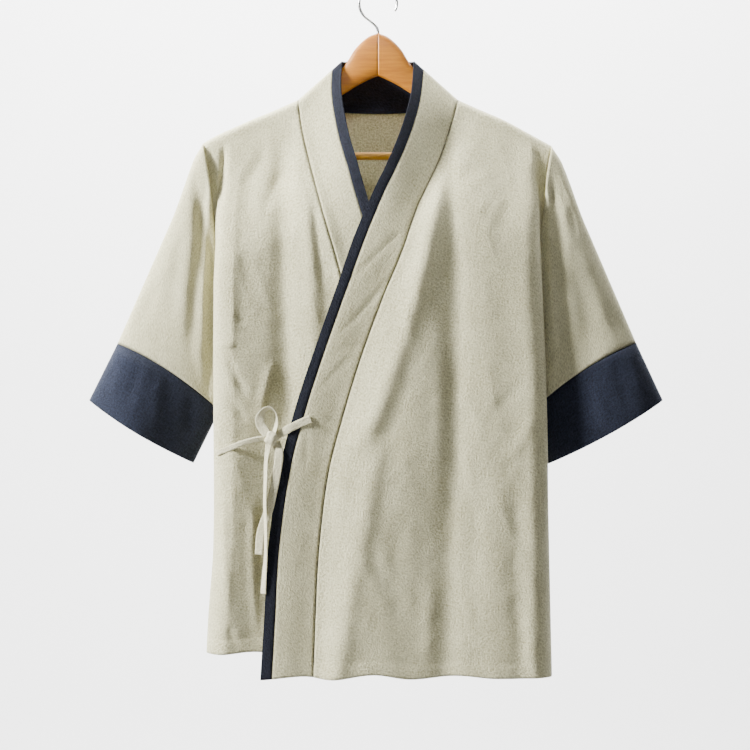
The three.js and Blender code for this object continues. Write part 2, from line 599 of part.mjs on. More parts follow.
// A flat strip along a tie's table
function tieGrid(rows) {
  const middle = rows.map((row) => new THREE.Vector3(row.x, -(clothDepth(row.x, row.z) + row.before), row.z));
  return rows.map((row, n) => {
    const ahead = middle[Math.min(n + 1, rows.length - 1)];
    const behind = middle[Math.max(n - 1, 0)];
    const along = ahead.clone().sub(behind).normalize();
    const across = new THREE.Vector3(0, 1, 0).cross(along).normalize();
    const out = along.clone().cross(across).normalize();
    const turn = THREE.MathUtils.degToRad(row.turn);
    const wide = across.multiplyScalar(Math.cos(turn)).add(out.multiplyScalar(Math.sin(turn)));
    return [-0.5, 0, 0.5].map((share) => middle[n].clone().addScaledVector(wide, share * row.wide));
  });
}

// Normals of several grids, averaged where their points meet.
// A closed grid joins its last column to its first.
// On the shoulder line, the first row of a ridge grid, they point straight up from the seam.
function sewnNormals(grids) {
  const sums = new Map();
  const key = (p) => [p.x, p.y, p.z].map((value) => Math.round(value * 100)).join();
  const results = grids.map(({ points, closed, inside }) => {
    const columns = points[0].length;
    const cells = closed ? columns : columns - 1;
    const normals = points.map((row) => row.map(() => new THREE.Vector3()));
    let outward = 0;
    for (let r = 0; r + 1 < points.length; r += 1) {
      for (let c = 0; c < cells; c += 1) {
        const d = (c + 1) % columns;
        const corners = [[r, c], [r, d], [r + 1, d], [r + 1, c]];
        const [a, b, e, f] = corners.map(([i, j]) => points[i][j]);
        const normal = e.clone().sub(a).cross(f.clone().sub(b));
        corners.forEach(([i, j]) => normals[i][j].add(normal));
        outward += normal.dot(a.clone().add(e).multiplyScalar(0.5).sub(inside));
      }
    }
    return { normals, sign: Math.sign(outward) };
  });
  grids.forEach(({ points }, g) => points.forEach((row, r) => row.forEach((point, c) => {
    const { normals, sign } = results[g];
    normals[r][c].multiplyScalar(sign);
    const sum = sums.get(key(point)) ?? new THREE.Vector3();
    sums.set(key(point), sum.add(normals[r][c].clone().normalize()));
  })));
  return grids.map(({ points, ridge }, g) => ({
    sign: results[g].sign,
    normals: points.map((row, r) => row.map((point) => {
      const normal = sums.get(key(point)).clone();
      if (ridge && r === 0) normal.y = 0;
      return normal.normalize();
    })),
  }));
}

// Every border of a grid drawn back from its seam line
function drawnBack(points, closed) {
  const pull = (from, to) => to.clone().sub(from).setLength(SEAM_PULL);
  const rows = points.length;
  const columns = points[0].length;
  return points.map((row, r) => row.map((point, c) => {
    const moved = point.clone();
    if (r === 0) moved.add(pull(point, points[1][c]));
    if (r === rows - 1) moved.add(pull(point, points[rows - 2][c]));
    if (!closed && c === 0) moved.add(pull(point, row[1]));
    if (!closed && c === columns - 1) moved.add(pull(point, row[columns - 2]));
    return moved;
  }));
}

// A closed wall from an outer grid, its normals and a thickness. start moves the whole wall inwards.
function wallGeometry({ points, closed }, { normals, sign }, thickness, start = 0) {
  const outer = drawnBack(points, closed);
  const rows = outer.length;
  const columns = outer[0].length;
  const cells = closed ? columns : columns - 1;
  const positions = [];
  [start, start + thickness].forEach((depth) => outer.forEach((row, r) => row.forEach((point, c) => {
    positions.push(...point.clone().addScaledVector(normals[r][c], -depth).toArray());
  })));
  const index = [];
  const face = (a, b, c, d) => {
    if (sign > 0) index.push(a, b, c, a, c, d);
    else index.push(a, c, b, a, d, c);
  };
  const outerAt = (r, c) => r * columns + (c % columns);
  const innerAt = (r, c) => outerAt(r, c) + rows * columns;
  for (let r = 0; r + 1 < rows; r += 1) {
    for (let c = 0; c < cells; c += 1) {
      face(outerAt(r, c), outerAt(r, c + 1), outerAt(r + 1, c + 1), outerAt(r + 1, c));
      face(innerAt(r, c), innerAt(r + 1, c), innerAt(r + 1, c + 1), innerAt(r, c + 1));
    }
  }
  for (let c = 0; c < cells; c += 1) {
    face(outerAt(0, c), innerAt(0, c), innerAt(0, c + 1), outerAt(0, c + 1));
    const last = rows - 1;
    face(outerAt(last, c), outerAt(last, c + 1), innerAt(last, c + 1), innerAt(last, c));
  }
  for (let r = 0; !closed && r + 1 < rows; r += 1) {
    face(outerAt(r, 0), outerAt(r + 1, 0), innerAt(r + 1, 0), innerAt(r, 0));
    const last = columns - 1;
    face(outerAt(r, last), innerAt(r, last), innerAt(r + 1, last), outerAt(r + 1, last));
  }
  const geometry = new THREE.BufferGeometry();
  geometry.setAttribute('position', new THREE.Float32BufferAttribute(positions, 3));
  geometry.setIndex(index);
  return geometry;
}

function addPiece(name, geometry, finish) {
  geometry.computeVertexNormals();
  const mesh = new THREE.Mesh(geometry, new THREE.MeshStandardMaterial(COLOURS[finish]));
  mesh.name = name;
  jacket.add(mesh);
}

// A three.js geometry as a solid that can be joined and cut, and back
function toSolid(geometry) {
  const bare = geometry.clone();
  bare.deleteAttribute('normal');
  bare.deleteAttribute('uv');
  const merged = mergeVertices(bare, 1e-4);
  return new wasm.Manifold(new wasm.Mesh({
    numProp: 3,
    vertProperties: Float32Array.from(merged.attributes.position.array),
    triVerts: Uint32Array.from(merged.index.array),
  }));
}

function toGeometry(solid) {
  const mesh = solid.getMesh();
  const geometry = new THREE.BufferGeometry();
  geometry.setAttribute('position', new THREE.Float32BufferAttribute(mesh.vertProperties, 3));
  geometry.setIndex(Array.from(mesh.triVerts));
  return geometry;
}

function addBody() {
  const inside = new THREE.Vector3(0, 0, -500);
  const band = [0, EDGING_START, 3];
  const edging = [EDGING_START, 1, 1];
  const cloth = { wall: BODY_WALL, finish: 'cloth', ridge: true };
  const doubled = { wall: BAND_WALL, finish: 'cloth' };
  const dark = { wall: BAND_WALL, finish: 'navy' };
  const pieces = [
    { name: 'front_left', points: frontGrid(LEFT), ...cloth },
    { name: 'front_right', points: frontGrid(RIGHT), ...cloth },
    { name: 'back', points: backGrid(), ...cloth },
    { name: 'collar_band_left', points: collarGrid(LEFT, ...band), ...doubled },
    { name: 'collar_band_right', points: collarGrid(RIGHT, ...band), ...doubled },
    { name: 'collar_band_neck', points: neckGrid(...band), ...doubled },
    { name: 'collar_edge_left', points: collarGrid(LEFT, ...edging), ...dark },
    { name: 'collar_edge_right', points: collarGrid(RIGHT, ...edging), ...dark },
    { name: 'collar_edge_neck', points: neckGrid(...edging), ...dark },
  ].map((piece) => ({ ...piece, closed: false, inside }));
  const sewn = sewnNormals(pieces);
  pieces.forEach((piece, n) => addPiece(piece.name, wallGeometry(piece, sewn[n], piece.wall), piece.finish));
  const neck = pieces.findIndex((piece) => piece.name === 'collar_band_neck');
  const facing = wallGeometry(pieces[neck], sewn[neck], FACING_WALL, BAND_WALL + LAYER_GAP);
  addPiece('neck_facing', facing, 'navy');
}

function addSleeve(front, name) {
  const inside = new THREE.Vector3(270 * front.side, 0, -450);
  const pieces = [
    { points: sleeveGrid(front), closed: true, inside },
    { points: cuffGrid(front), closed: true, inside },
  ];
  const sewn = sewnNormals(pieces);
  addPiece(`sleeve_${name}`, wallGeometry(pieces[0], sewn[0], BODY_WALL), 'cloth');
  addPiece(`cuff_${name}`, wallGeometry(pieces[1], sewn[1], CUFF_WALL), 'navy');
}

function knotGeometry(grow) {
  const geometry = new THREE.SphereGeometry(1, 14, 9);
  geometry.scale(KNOT.halfX + grow, KNOT.halfY + grow, KNOT.halfZ + grow);
  geometry.rotateY(THREE.MathUtils.degToRad(KNOT.lean));
  geometry.translate(KNOT.x, -(clothDepth(KNOT.x, KNOT.z) + KNOT.before), KNOT.z);
  return geometry;
}

// The straps, the loop and the tails stop where they meet the knot
function addTies() {
  const inside = new THREE.Vector3(-135, 0, -620);
  const around = toSolid(knotGeometry(LAYER_GAP));
  const strips = {
    tie_strap_left: LEFT_STRAP,
    tie_strap_right: RIGHT_STRAP,
    tie_loop: LOOP,
    tie_tail_long: LONG_TAIL,
    tie_tail_short: SHORT_TAIL,
  };
  for (const [name, rows] of Object.entries(strips)) {
    const strip = { points: tieGrid(rows), closed: false, inside };
    const [sewn] = sewnNormals([strip]);
    const solid = toSolid(wallGeometry(strip, sewn, TIE_WALL)).subtract(around);
    addPiece(name, toGeometry(solid), 'cloth');
  }
  addPiece('tie_knot', knotGeometry(0), 'cloth');
}

// A bar of round or oval section through a table of sections along X
function armGeometry(side) {
  const rings = ARM.map(({ x, top, low, half }) => {
    const ring = [];
    for (let n = 0; n < ARM_SIDES; n += 1) {
      const angle = (n / ARM_SIDES) * 2 * Math.PI;
      const fill = 0.75; // between an oval and a box
      const squared = (value) => Math.sign(value) * Math.abs(value) ** fill;
      const y = half * squared(Math.sin(angle));
      const z = (top + low) / 2 + ((top - low) / 2) * squared(Math.cos(angle));
      ring.push(new THREE.Vector3(x * side, y, z));
    }
    return ring;
  });
  const positions = rings.flat().flatMap((point) => point.toArray());
  const index = [];
  const face = (a, b, c) => index.push(...(side > 0 ? [a, b, c] : [a, c, b]));
  for (let r = 0; r + 1 < rings.length; r += 1) {
    for (let n = 0; n < ARM_SIDES; n += 1) {
      const next = (n + 1) % ARM_SIDES;
      const [a, b] = [r * ARM_SIDES + n, r * ARM_SIDES + next];
      face(a, b + ARM_SIDES, b);
      face(a, a + ARM_SIDES, b + ARM_SIDES);
    }
  }
  const last = (rings.length - 1) * ARM_SIDES;
  for (let n = 1; n + 1 < ARM_SIDES; n += 1) {
    face(0, n, n + 1);
    face(last, last + n + 1, last + n);
  }
  const geometry = new THREE.BufferGeometry();
  geometry.setAttribute('position', new THREE.Float32BufferAttribute(positions, 3));
  geometry.setIndex(index);
  return geometry;
}

function barGeometry(radius, reach) {
  const geometry = new THREE.CylinderGeometry(radius, radius, 2 * reach, BAR.sides);
  geometry.rotateZ(Math.PI / 2);
  geometry.translate(0, 0, BAR.z);
  return geometry;
}

// The wire goes up out of the wood, swings to one side and over the top
function hookGeometry(grow) {
  const centre = -HOOK.radius + HOOK.wire;
  const points = [];
  for (let angle = HOOK.start; angle <= HOOK.end; angle += (HOOK.end - HOOK.start) / 20) {
    const turned = THREE.MathUtils.degToRad(angle);
    const [x, z] = [HOOK.radius * Math.cos(turned), centre + HOOK.radius * Math.sin(turned)];
    points.push(new THREE.Vector3(x, 0, z));
  }
  points.push(new THREE.Vector3(-3, 0, -51), new THREE.Vector3(0, 0, -58));
  points.push(new THREE.Vector3(0, 0, -68), new THREE.Vector3(0, 0, HOOK.foot - grow));
  const section = new THREE.Shape();
  section.absarc(0, 0, HOOK.wire + grow, 0, 2 * Math.PI);
  const path = new THREE.CatmullRomCurve3(points);
  return new THREE.ExtrudeGeometry(section, {
    steps: 44,
    curveSegments: HOOK.sides,
    bevelEnabled: false,
    extrudePath: path,
  });
}

function addHanger() {
  const socket = toSolid(barGeometry(BAR.radius + BAR.socket, BAR.reach + BAR.socket));
  const stem = toSolid(hookGeometry(HOOK.socket));
  for (const [name, side] of [['left', 1], ['right', -1]]) {
    const arm = toSolid(armGeometry(side)).subtract(socket).subtract(stem);
    addPiece(`hanger_arm_${name}`, toGeometry(arm), 'wood');
  }
  addPiece('hanger_bar', barGeometry(BAR.radius, BAR.reach), 'wood');
  addPiece('hanger_hook', hookGeometry(0), 'steel');
}

addBody();
addSleeve(LEFT, 'left');
addSleeve(RIGHT, 'right');
addTies();
addHanger();

export default jacket;
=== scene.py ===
"""Looks of a short-sleeved jacket with a crossed collar, hanging on a wooden hanger.

Tables and surfaces are in millimetres, +Z up, the front of the jacket facing -Y, and left and right are the
wearer's. A piece's points become metres when its mesh is made.
"""

import logging
import math
from dataclasses import dataclass, field
from enum import Enum

import bmesh
import bpy
import numpy as np
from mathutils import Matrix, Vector


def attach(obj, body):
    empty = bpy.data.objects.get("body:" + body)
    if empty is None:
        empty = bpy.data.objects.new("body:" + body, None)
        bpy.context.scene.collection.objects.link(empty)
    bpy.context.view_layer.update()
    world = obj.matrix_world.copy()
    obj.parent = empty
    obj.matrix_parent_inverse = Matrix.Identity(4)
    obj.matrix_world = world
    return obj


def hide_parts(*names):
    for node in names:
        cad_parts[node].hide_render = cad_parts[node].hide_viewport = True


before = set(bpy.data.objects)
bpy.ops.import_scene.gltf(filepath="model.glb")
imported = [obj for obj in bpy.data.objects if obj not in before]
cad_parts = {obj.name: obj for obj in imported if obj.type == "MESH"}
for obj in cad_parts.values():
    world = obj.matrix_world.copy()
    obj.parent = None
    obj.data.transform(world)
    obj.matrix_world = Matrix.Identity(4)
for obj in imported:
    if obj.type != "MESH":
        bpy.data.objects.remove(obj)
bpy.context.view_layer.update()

log = logging.getLogger("jacket")

MM = 0.001
SAME_PLACE = 1e-7


class Table:
    """A short table with named columns, read along a smooth curve through its rows."""

    def __init__(self, columns: str, *rows: tuple) -> None:
        """Keep the rows.

        Args:
            columns: the columns' names, parted by spaces.
            rows: the rows, each with a value for every column.
        """
        self.data = {name: np.array(values, float) for name, values in zip(columns.split(), zip(*rows))}

    def at(self, key: str, value, name: str) -> np.ndarray:
        """Read one column where another has a value.

        Args:
            key: the column that is searched, which rises or falls all the way.
            value: where to read, one number or many.
            name: the column to read.

        Returns:
            The column's value at each place, held at the ends.
        """
        keys, values = self.data[key], self.data[name]
        if keys[0] > keys[-1]:
            keys, values = keys[::-1], values[::-1]
        last = len(keys) - 1
        after, before = np.minimum(np.arange(last + 1) + 1, last), np.maximum(np.arange(last + 1) - 1, 0)
        slopes = (values[after] - values[before]) / (keys[after] - keys[before])
        i = np.clip(np.searchsorted(keys, value, side="right"), 1, last)
        run = keys[i] - keys[i - 1]
        t = np.clip((value - keys[i - 1]) / run, 0, 1)
        rise = values[i] - values[i - 1]
        bulge = (1 - t) * slopes[i - 1] * run - t * slopes[i] * run + (2 * t - 1) * rise
        return values[i - 1] + rise * t + t * (1 - t) * bulge

    def rows(self) -> list[dict]:
        """Give the rows.

        Returns:
            A dictionary for each row.
        """
        return [dict(zip(self.data, values)) for values in zip(*self.data.values())]


# Body
NECK_HALF = 102
NECK_Z = -145.5
NECK_DIP = 9
TIP_X = 221
TIP_Z = -204
ARMPIT_Z = -497
RIDGE_ROUND = 8
RIDGE_DROP = 10
SWELL_DROP = 180
FRONT_DEPTH = 55
BACK_DEPTH = 60
LAP_STEP = 7.5
LAP_DROP = 100
EDGE_EASE = 0.2
EASE_START = 100
EDGE_ROUND = 26
EDGE_ROUND_SHARES = (0.4, 0.75)
EDGE_ROUND_Z = -560
EDGE_ROUND_RUN = 120
EDGE_TURN_DROP = 50
SIDE_CLEAR_Z = -640
LEFT_HEM_Z = -878
RIGHT_HEM_Z = -848

# Collar
EDGING_START = 0.78
BACK_COLLAR_TOP = -90
BACK_COLLAR_DEPTH = 54
COLLAR_HALF = 46
COLLAR_SIDE_Y = -4
COLLAR_SIDE_Z = -96.5
BAND_CROWN = 3
NECK_SQUARENESS = 0.85
BAND_FOLD_SHARE = 0.35
BAND_FINE_SHARE = 0.5
BAND_NEAR = 22
BAND_WIDE = 55
EDGING_SEAM_DEEP = 0.9
FACING_START = -0.03
COVER_RUN = 25

# Where folds and creases begin: shares of the height or drops in millimetres over which they set in
FOLD_FADE = 60
AT_ONCE, SOON, SLOWLY = 60, 20, 6
CREASE_DROP = 30
VALLEY_DROP = 70

# The right shoulder tip is a little higher and further out than the left one
TIP_PLACE = (205, -204)
TIP_SPREAD = (38, 45)
TIP_SHIFT = (2.5, 3.5)

SHOULDER = Table("x z", (NECK_HALF, NECK_Z), (131, -158.5), (160, -171), (190, -187), (TIP_X, TIP_Z))
ARMHOLE_ROWS = (TIP_Z, -207, -212, -224, -249, -280, -315, -350, -385, -415, -445, -474, -489, ARMPIT_Z)
SIDE = Table(
    "z x depth",
    (TIP_Z, TIP_X, 0), (-207, 220.7, 5), (-212, 220, 7.5), (-224, 217, 8.5), (-249, 213.5, 9),
    (-304, 208, 10), (-374, 202, 12), (-434, 190, 11), (-474, 183, 7), (-489, 181, 4), (ARMPIT_Z, 180, 0),
    (-540, 180, 0), (-580, 186, 0), (-620, 198, 0), (-660, 208, 0), (-700, 210, 0), (-790, 213.5, 0),
    (LEFT_HEM_Z, 217, 0),
)
LEFT_EDGE = Table(
    "z x",
    (TIP_Z, 193), (-253, 199), (-280, 204), (-343, 205.5), (-401, 208), (-527, 213), (-700, 217),
    (LEFT_HEM_Z, 221),
)
RIGHT_EDGE = Table(
    "z x",
    (TIP_Z, 193), (-243, 194.5), (-287, 203), (-351, 206), (-400, 208), (-710, 209), (-803, 215.5),
    (LEFT_HEM_Z, 219),
)

# The crossed collar: the seam (x, z), and the free edge beside it with its own depth
LEFT_COLLAR = Table(
    "z x edge_x edge_z edge_depth",
    (NECK_Z, 102, COLLAR_HALF, COLLAR_SIDE_Z, 4),
    (-185, 90.5, 41.5, -143, 25),
    (-224, 77, 27.5, -191, 40),
    (-263, 59, 8.5, -236, 50),
    (-285, 48.5, -2.5, -258, 53.5),
    (-340, 30, -29, -319.5, 54.5),
    (-398, 6, -49, -377, FRONT_DEPTH),
    (-476, -22.5, -76.5, -455, FRONT_DEPTH),
    (-550, -45, -101.5, -530, FRONT_DEPTH),
    (-621, -63, -122.5, -610, FRONT_DEPTH),
    (-715, -74.5, -137.5, -711, FRONT_DEPTH),
    (-799, -79, -142.5, -799, FRONT_DEPTH),
    (LEFT_HEM_Z, -81.5, -147.5, LEFT_HEM_Z, FRONT_DEPTH),
)
RIGHT_COLLAR = Table(
    "z x edge_x edge_z edge_depth",
    (NECK_Z, 102, COLLAR_HALF, COLLAR_SIDE_Z, 4),
    (-182, 97, 47, -135, 18),
    (-214, 90, 38, -187, 32),
    (-254, 79.5, 26.5, -226, 40),
    (-289, 70, 17, -259, 43.5),
    (-313, 63, 7.5, -289, 46),
    (-345, 53.5, -6, -322, 47.2),
    (-390, 42, -20, -368, 47.5),
    (-450, 27, -36, -430, 47.5),
    (-550, 5, -58, -533, 47.5),
    (-650, -12, -75, -638, 47.5),
    (-750, -24, -87, -744, 47.5),
    (RIGHT_HEM_Z, -30, -93, RIGHT_HEM_Z, 47.5),
)

# The largest folds, which run down from top to low: where the middle passes, its half width and its rise
BELOW_HEM = -1000
FOLD_COLUMNS = "top low x_top x_mid x_low wide_top wide_low rise"
LEFT_FOLDS = Table(
    FOLD_COLUMNS,
    (-225, -610, 82, 42, -28, 12, 15, 5),
    (-205, BELOW_HEM, 92, 94, 80, 12, 18, -3),
    (-205, BELOW_HEM, 128, 140, 150, 22, 28, 2.5),
    (-560, BELOW_HEM, 4, -34, -76, 16, 17, 5),
    (-620, BELOW_HEM, 172, 178, 182, 10, 12, -1.5),
)
RIGHT_FOLDS = Table(
    FOLD_COLUMNS,
    (-160, -540, -97, -84, -80, 12, 13, 3.5),
    (-190, -600, -124, -118, -112, 13, 16, -5),
    (-215, -480, -186, -186, -192, 12, 12, 3),
)

# Where each front falls away to the wearer's left: the foot of the slope, its width and how far it falls
FALL_COLUMNS = "z foot wide drop"
LEFT_FALL = Table(
    FALL_COLUMNS,
    (-205, 94, 40, 0), (-280, 94, 42, 4), (-402, 97, 50, 8), (-502, 102, 62, 9), (-603, 102, 80, 10),
    (-703, 96, 95, 12), (LEFT_HEM_Z, 90, 100, 13),
)
RIGHT_FALL = Table(
    FALL_COLUMNS,
    (-180, -110, 80, 0), (-276, -110, 80, 5), (-402, -112, 84, 12), (-502, -108, 90, 17),
    (-603, -118, 80, 19), (-703, -124, 72, 19), (-803, -132, 66, 16), (LEFT_HEM_Z, -136, 64, 14),
)
BACK_FOLDS = Table(
    FOLD_COLUMNS,
    (-230, BELOW_HEM, 40, 34, 26, 15, 22, -8),
    (-250, BELOW_HEM, -48, -52, -60, 14, 20, -7),
    (-220, BELOW_HEM, 96, 104, 112, 14, 19, 6),
    (-240, BELOW_HEM, -104, -108, -122, 14, 20, 6),
    (-320, BELOW_HEM, 152, 158, 166, 10, 14, -5),
    (-340, BELOW_HEM, -154, -162, -170, 10, 15, -5),
)

# Finer creases, each from one place to another, bowed sideways, with its half width and its rise
CREASE_COLUMNS = "x z to_x to_z bow wide rise"
FRONT_CREASES = Table(
    CREASE_COLUMNS,
    # The overlap's collar
    (44, -304, -46, -392, 3, 3.2, -1.5),
    (22, -362, -62, -457, -4, 3.4, -1.6),
    (-58, -461, -14, -458, 2, 3, -1.3),
    (-30, -470, -76, -520, 2, 4, -1.2),
    (-86, -560, -90, -618, 2, 3.5, -1.8),
    (88, -170, 62, -222, 4, 6, -2),
    # The overlap beside its collar
    (60, -262, 30, -330, -3, 4.5, -2.2),
    (-36, -560, -70, -548, 2, 4, -1.5),
    (-30, -585, -62, -575, -3, 4, 1.3),
    (140, -230, 96, -262, 5, 9, -0.7),
    (176, -268, 150, -330, 4, 9, -0.6),
    (190, -505, 140, -560, 6, 9, -1),
    (196, -540, 158, -610, -5, 8, 1.3),
    (188, -640, 178, -720, 4, 9, -0.5),
    (168, -770, 182, -870, -5, 8, -1),
    (190, -780, 196, -874, 3, 7, 1),
    (120, -600, 108, -800, -7, 12, -1.5),
    (88, -420, 84, -640, 6, 12, 1.2),
    (30, -640, 26, -860, 5, 12, -1.2),
    (-8, -700, -22, -872, -4, 11, 1.2),
    (70, -740, 62, -876, 3, 11, 1.2),
    # The recesses beside the sleeves
    (203, -185, 204, -340, 0, 26, 5),
    (207, -192, 209, -275, 0, 7, -6.5),
    (206, -235, 213, -430, 0, 4.5, -4.5),
    (-200, -185, -202, -350, 0, 26, 5),
    (-194, -196, -204, -300, -2, 5, -7),
    (-209, -198, -209, -290, 0, 5, 2.5),
    (-204, -270, -210, -470, 0, 4, -3.5),
    # The underlap
    (-80, -262, -63, -412, 4, 6, -2.5),
    (-180, -417, -165, -431, 2, 4, -1.6),
    (-204, -456, -178, -457, 2, 4, 2.4),
    (-190, -466, -160, -528, 4, 5, -2),
    (-142, -200, -176, -262, -6, 9, -2),
    (-112, -230, -146, -300, 5, 8, -2.2),
    (-196, -520, -164, -560, -3, 6, -2),
    (-128, -470, -150, -560, 4, 6, 1.6),
    (-194, -640, -186, -800, 4, 6, 2.4),
    (-156, -640, -150, -846, 5, 6, 1.8),
    (-190, -810, -172, -846, 2, 5, -1.6),
)
BACK_CREASES = Table(
    CREASE_COLUMNS,
    (60, -190, 30, -300, 6, 9, -2.4),
    (-72, -196, -44, -290, -5, 9, -2.2),
    (10, -178, -6, -330, 5, 11, 2),
    (182, -250, 150, -330, 6, 8, -2.4),
    (-180, -260, -146, -336, -6, 8, -2.2),
    (196, -500, 130, -570, 7, 8, -2.4),
    (-194, -505, -136, -580, -6, 8, -2.2),
    (186, -560, 150, -640, -5, 7, 1.8),
    (-188, -575, -150, -660, 5, 7, 1.8),
    (74, -420, 70, -700, 8, 8, -2),
    (-86, -460, -84, -740, -8, 8, -2.2),
    (4, -480, -10, -850, 8, 9, 2.4),
    (136, -620, 140, -872, -5, 7, 2),
    (-140, -640, -150, -846, 5, 7, 2),
    (46, -720, 40, -870, 4, 6, 1.8),
    (-30, -700, -34, -860, -4, 6, -1.8),
    (190, -700, 196, -868, 4, 6, -2),
    (-192, -690, -196, -842, -4, 6, -2),
)
LEFT_SLEEVE_CREASES = Table(
    CREASE_COLUMNS,
    (227, -248, 252, -330, -4, 5, -2.5),
    (236, -232, 250, -300, 3, 6, 1.6),
    (222, -300, 240, -420, 5, 7, 1.6),
    (214, -400, 236, -500, 5, 7, -2),
    (240, -350, 270, -470, -6, 11, -1.6),
    (262, -330, 296, -440, 5, 11, 1.4),
    (290, -400, 316, -455, 3, 6, -1.2),
    (226, -470, 214, -530, 3, 6, 1.2),
)
RIGHT_SLEEVE_CREASES = Table(
    CREASE_COLUMNS,
    (-203, -200, -196, -600, -3, 24, -13),
    (-222, -216, -214, -290, 3, 5, 2.5),
    (-230, -222, -222, -330, 3, 7, -3),
    (-238, -300, -262, -430, 6, 10, -1.4),
    (-262, -300, -290, -420, -5, 12, 1.4),
    (-270, -370, -306, -448, 5, 8, -1.2),
    (-232, -440, -222, -520, -4, 8, 1.4),
    (-302, -390, -322, -452, 3, 6, 1),
)
CUFF_CREASES = Table(
    CREASE_COLUMNS,
    (236, -512, 250, -596, 4, 8, -1.2),
    (268, -492, 282, -574, -4, 9, 1),
    (300, -470, 326, -548, 4, 8, -1),
    (318, -462, 344, -536, 2, 6, 0.8),
    (212, -534, 228, -600, 3, 6, 1),
)

# How far each front's hem is drawn up across its width
LEFT_HEM = Table("x up", (-143, 0), (-93, 3.8), (-59, 0), (-5, 6), (40, 0), (100, 3.8), (147, 0), (221, 0.5))
RIGHT_HEM = Table("x up", (-219, 1), (-196, 0), (-160, 3), (-120, 1), (-80, 2), (0, 1))

# Sewn lines draw the cloth in by this much, over this half width; at the hem the cloth is doubled
SEAM_DEEP = 2.0
SEAM_WIDE = 1.4
HEM_TURN = 18
HEM_RISE = 0.7
HEM_SEAM = (0.8, 2.5)
HEM_RUN = 70

# Places that a tie presses flat: x, z, half width and half height
TIE_SPOTS = ((-108, -560, 34, 20), (-200, -593, 18, 10))

# Sleeves: the cuff's seam and its mouth, each from the outer end to the inner end
CUFF_DEPTH = 25
INNER_THINNING = 0.5
SEAM_BOW = 9
MOUTH_BOW = -4
SLEEVE_SWELL = 15
SLEEVE_SWELL_RUN = 13
TROUGH_START = 16
TROUGH_WIDE = 8
TROUGH_DEEP = 6
TROUGH_DRIFT = 18
SHOULDER_CAP = 4
CAP_Z = -224
CAP_RUN = 25
SLEEVE_LONG = 150
CUFF_LONG = 80
CUFF_BULGE_X = 312
CUFF_BULGE_WIDE = 40
CUFF_RIM = 12

# On the back of a sleeve or a cuff the creases are moved by this much
BEHIND_SLEEVE = 14.0
BEHIND_CUFF = 12.0
ARMHOLE_STEP = 0.2
LIFT_START = -465
LIFT_UP = 2.5
LIFT_OUT = 6

# Ties: the depth of the outer face, the width and the turn in degrees
TIE_COLUMNS = "x z depth wide turn"
TIES = {
    "tie_strap_left": Table(
        TIE_COLUMNS,
        (-84, -551, 56.2, 10, 0), (-92, -554, 56.4, 10, 0), (-101, -558, 56.7, 10, 0),
        (-110, -562.5, 57.6, 10, 0), (-118, -567, 56.4, 10, 0), (-127, -572, 54.6, 10, 0),
    ),
    "tie_strap_right": Table(
        TIE_COLUMNS,
        (-204, -595, 35, 6.5, 0), (-199, -593, 38.5, 6.5, 0), (-186, -588, 42.5, 7, 10),
        (-168, -581, 49.7, 7, 25), (-152, -577, 53.2, 7.5, 30), (-137, -576, 54.3, 8, 30),
    ),
    "tie_loop": Table(
        TIE_COLUMNS,
        (-138, -571, 58.4, 11, 5), (-145, -561, 56.8, 12, 5), (-147.5, -551, 57.8, 12, 10),
        (-142, -541, 58.5, 10, 45), (-134, -538.5, 55.8, 10, 70), (-128.5, -546, 53.8, 9, 70),
        (-128, -558, 55, 8, 55), (-131, -570, 58.5, 8, 50),
    ),
    "tie_tail_long": Table(
        TIE_COLUMNS,
        (-137, -583, 57.9, 8, 10), (-140, -602, 59.2, 6, 35), (-141, -625, 59.6, 7, 50),
        (-142, -655, 59.6, 7, 55), (-141, -690, 58, 7, 55), (-141, -722, 56.5, 7, 50),
        (-143, -750, 55.5, 8, 40), (-144, -770, 54.9, 8, 30),
    ),
    "tie_tail_short": Table(
        TIE_COLUMNS,
        (-128, -580, 54.6, 11, 5), (-124, -594, 57.8, 11, 0), (-126, -615, 58.8, 11, 0),
        (-131, -640, 58, 11, 0), (-136.5, -664, 56.6, 11, 0), (-147, -694, 44.7, 11, 5),
        (-150, -722, 43.4, 10, 10),
    ),
}
KNOT_PLACE = (-133, -56.4, -575)
KNOT_LEAN = 25
KNOT_HALF = (9, 6.5, 10)
TIE_SEED = 30

# Hanger
ARM = Table(
    "x top low half",
    (0.01, -60, -115, 7), (14, -66, -121, 7), (29, -80.5, -129, 6.5), (40, -98, -136, 5.5),
    (52, -114, -143, 5), (66, -130, -151, 5), (84, -148, -165, 5), (102, -160.5, -179, 5),
    (131, -163.5, -192, 6), (160, -175.5, -206, 6), (190, -191.5, -222, 5.2), (208, -202, -229, 4),
    (214, -208, -226, 2.4),
)
ARM_FILL = 0.75
ARM_STEP = 2.5
BAR_Z, BAR_RADIUS, BAR_REACH, BAR_END = -217, 5, 192, 3
HOOK_WIRE, HOOK_RADIUS, HOOK_START, HOOK_END = 1.75, 24, -25, 238
HOOK_STEM = ((-3, -51), (0, -58), (0, -68), (0, -84))


def ease(value) -> np.ndarray:
    """Rise smoothly from 0 at 0 to 1 at 1.

    Args:
        value: one number or many.

    Returns:
        The eased value, held at 0 and 1 outside.
    """
    t = np.clip(value, 0, 1)
    return t * t * (3 - 2 * t)


def hump(distance, wide: float) -> np.ndarray:
    """Give a smooth hump, 1 in its middle and near 0 at twice its half width.

    Args:
        distance: distances from its middle.
        wide: its half width.

    Returns:
        The hump's height.
    """
    return np.exp(-((distance / wide) ** 2))


def mix(start, end, share):
    """Blend two values.

    Args:
        start: the value where share is 0.
        end: the value where share is 1.
        share: how far towards the end.

    Returns:
        The blended value.
    """
    return start + (end - start) * share


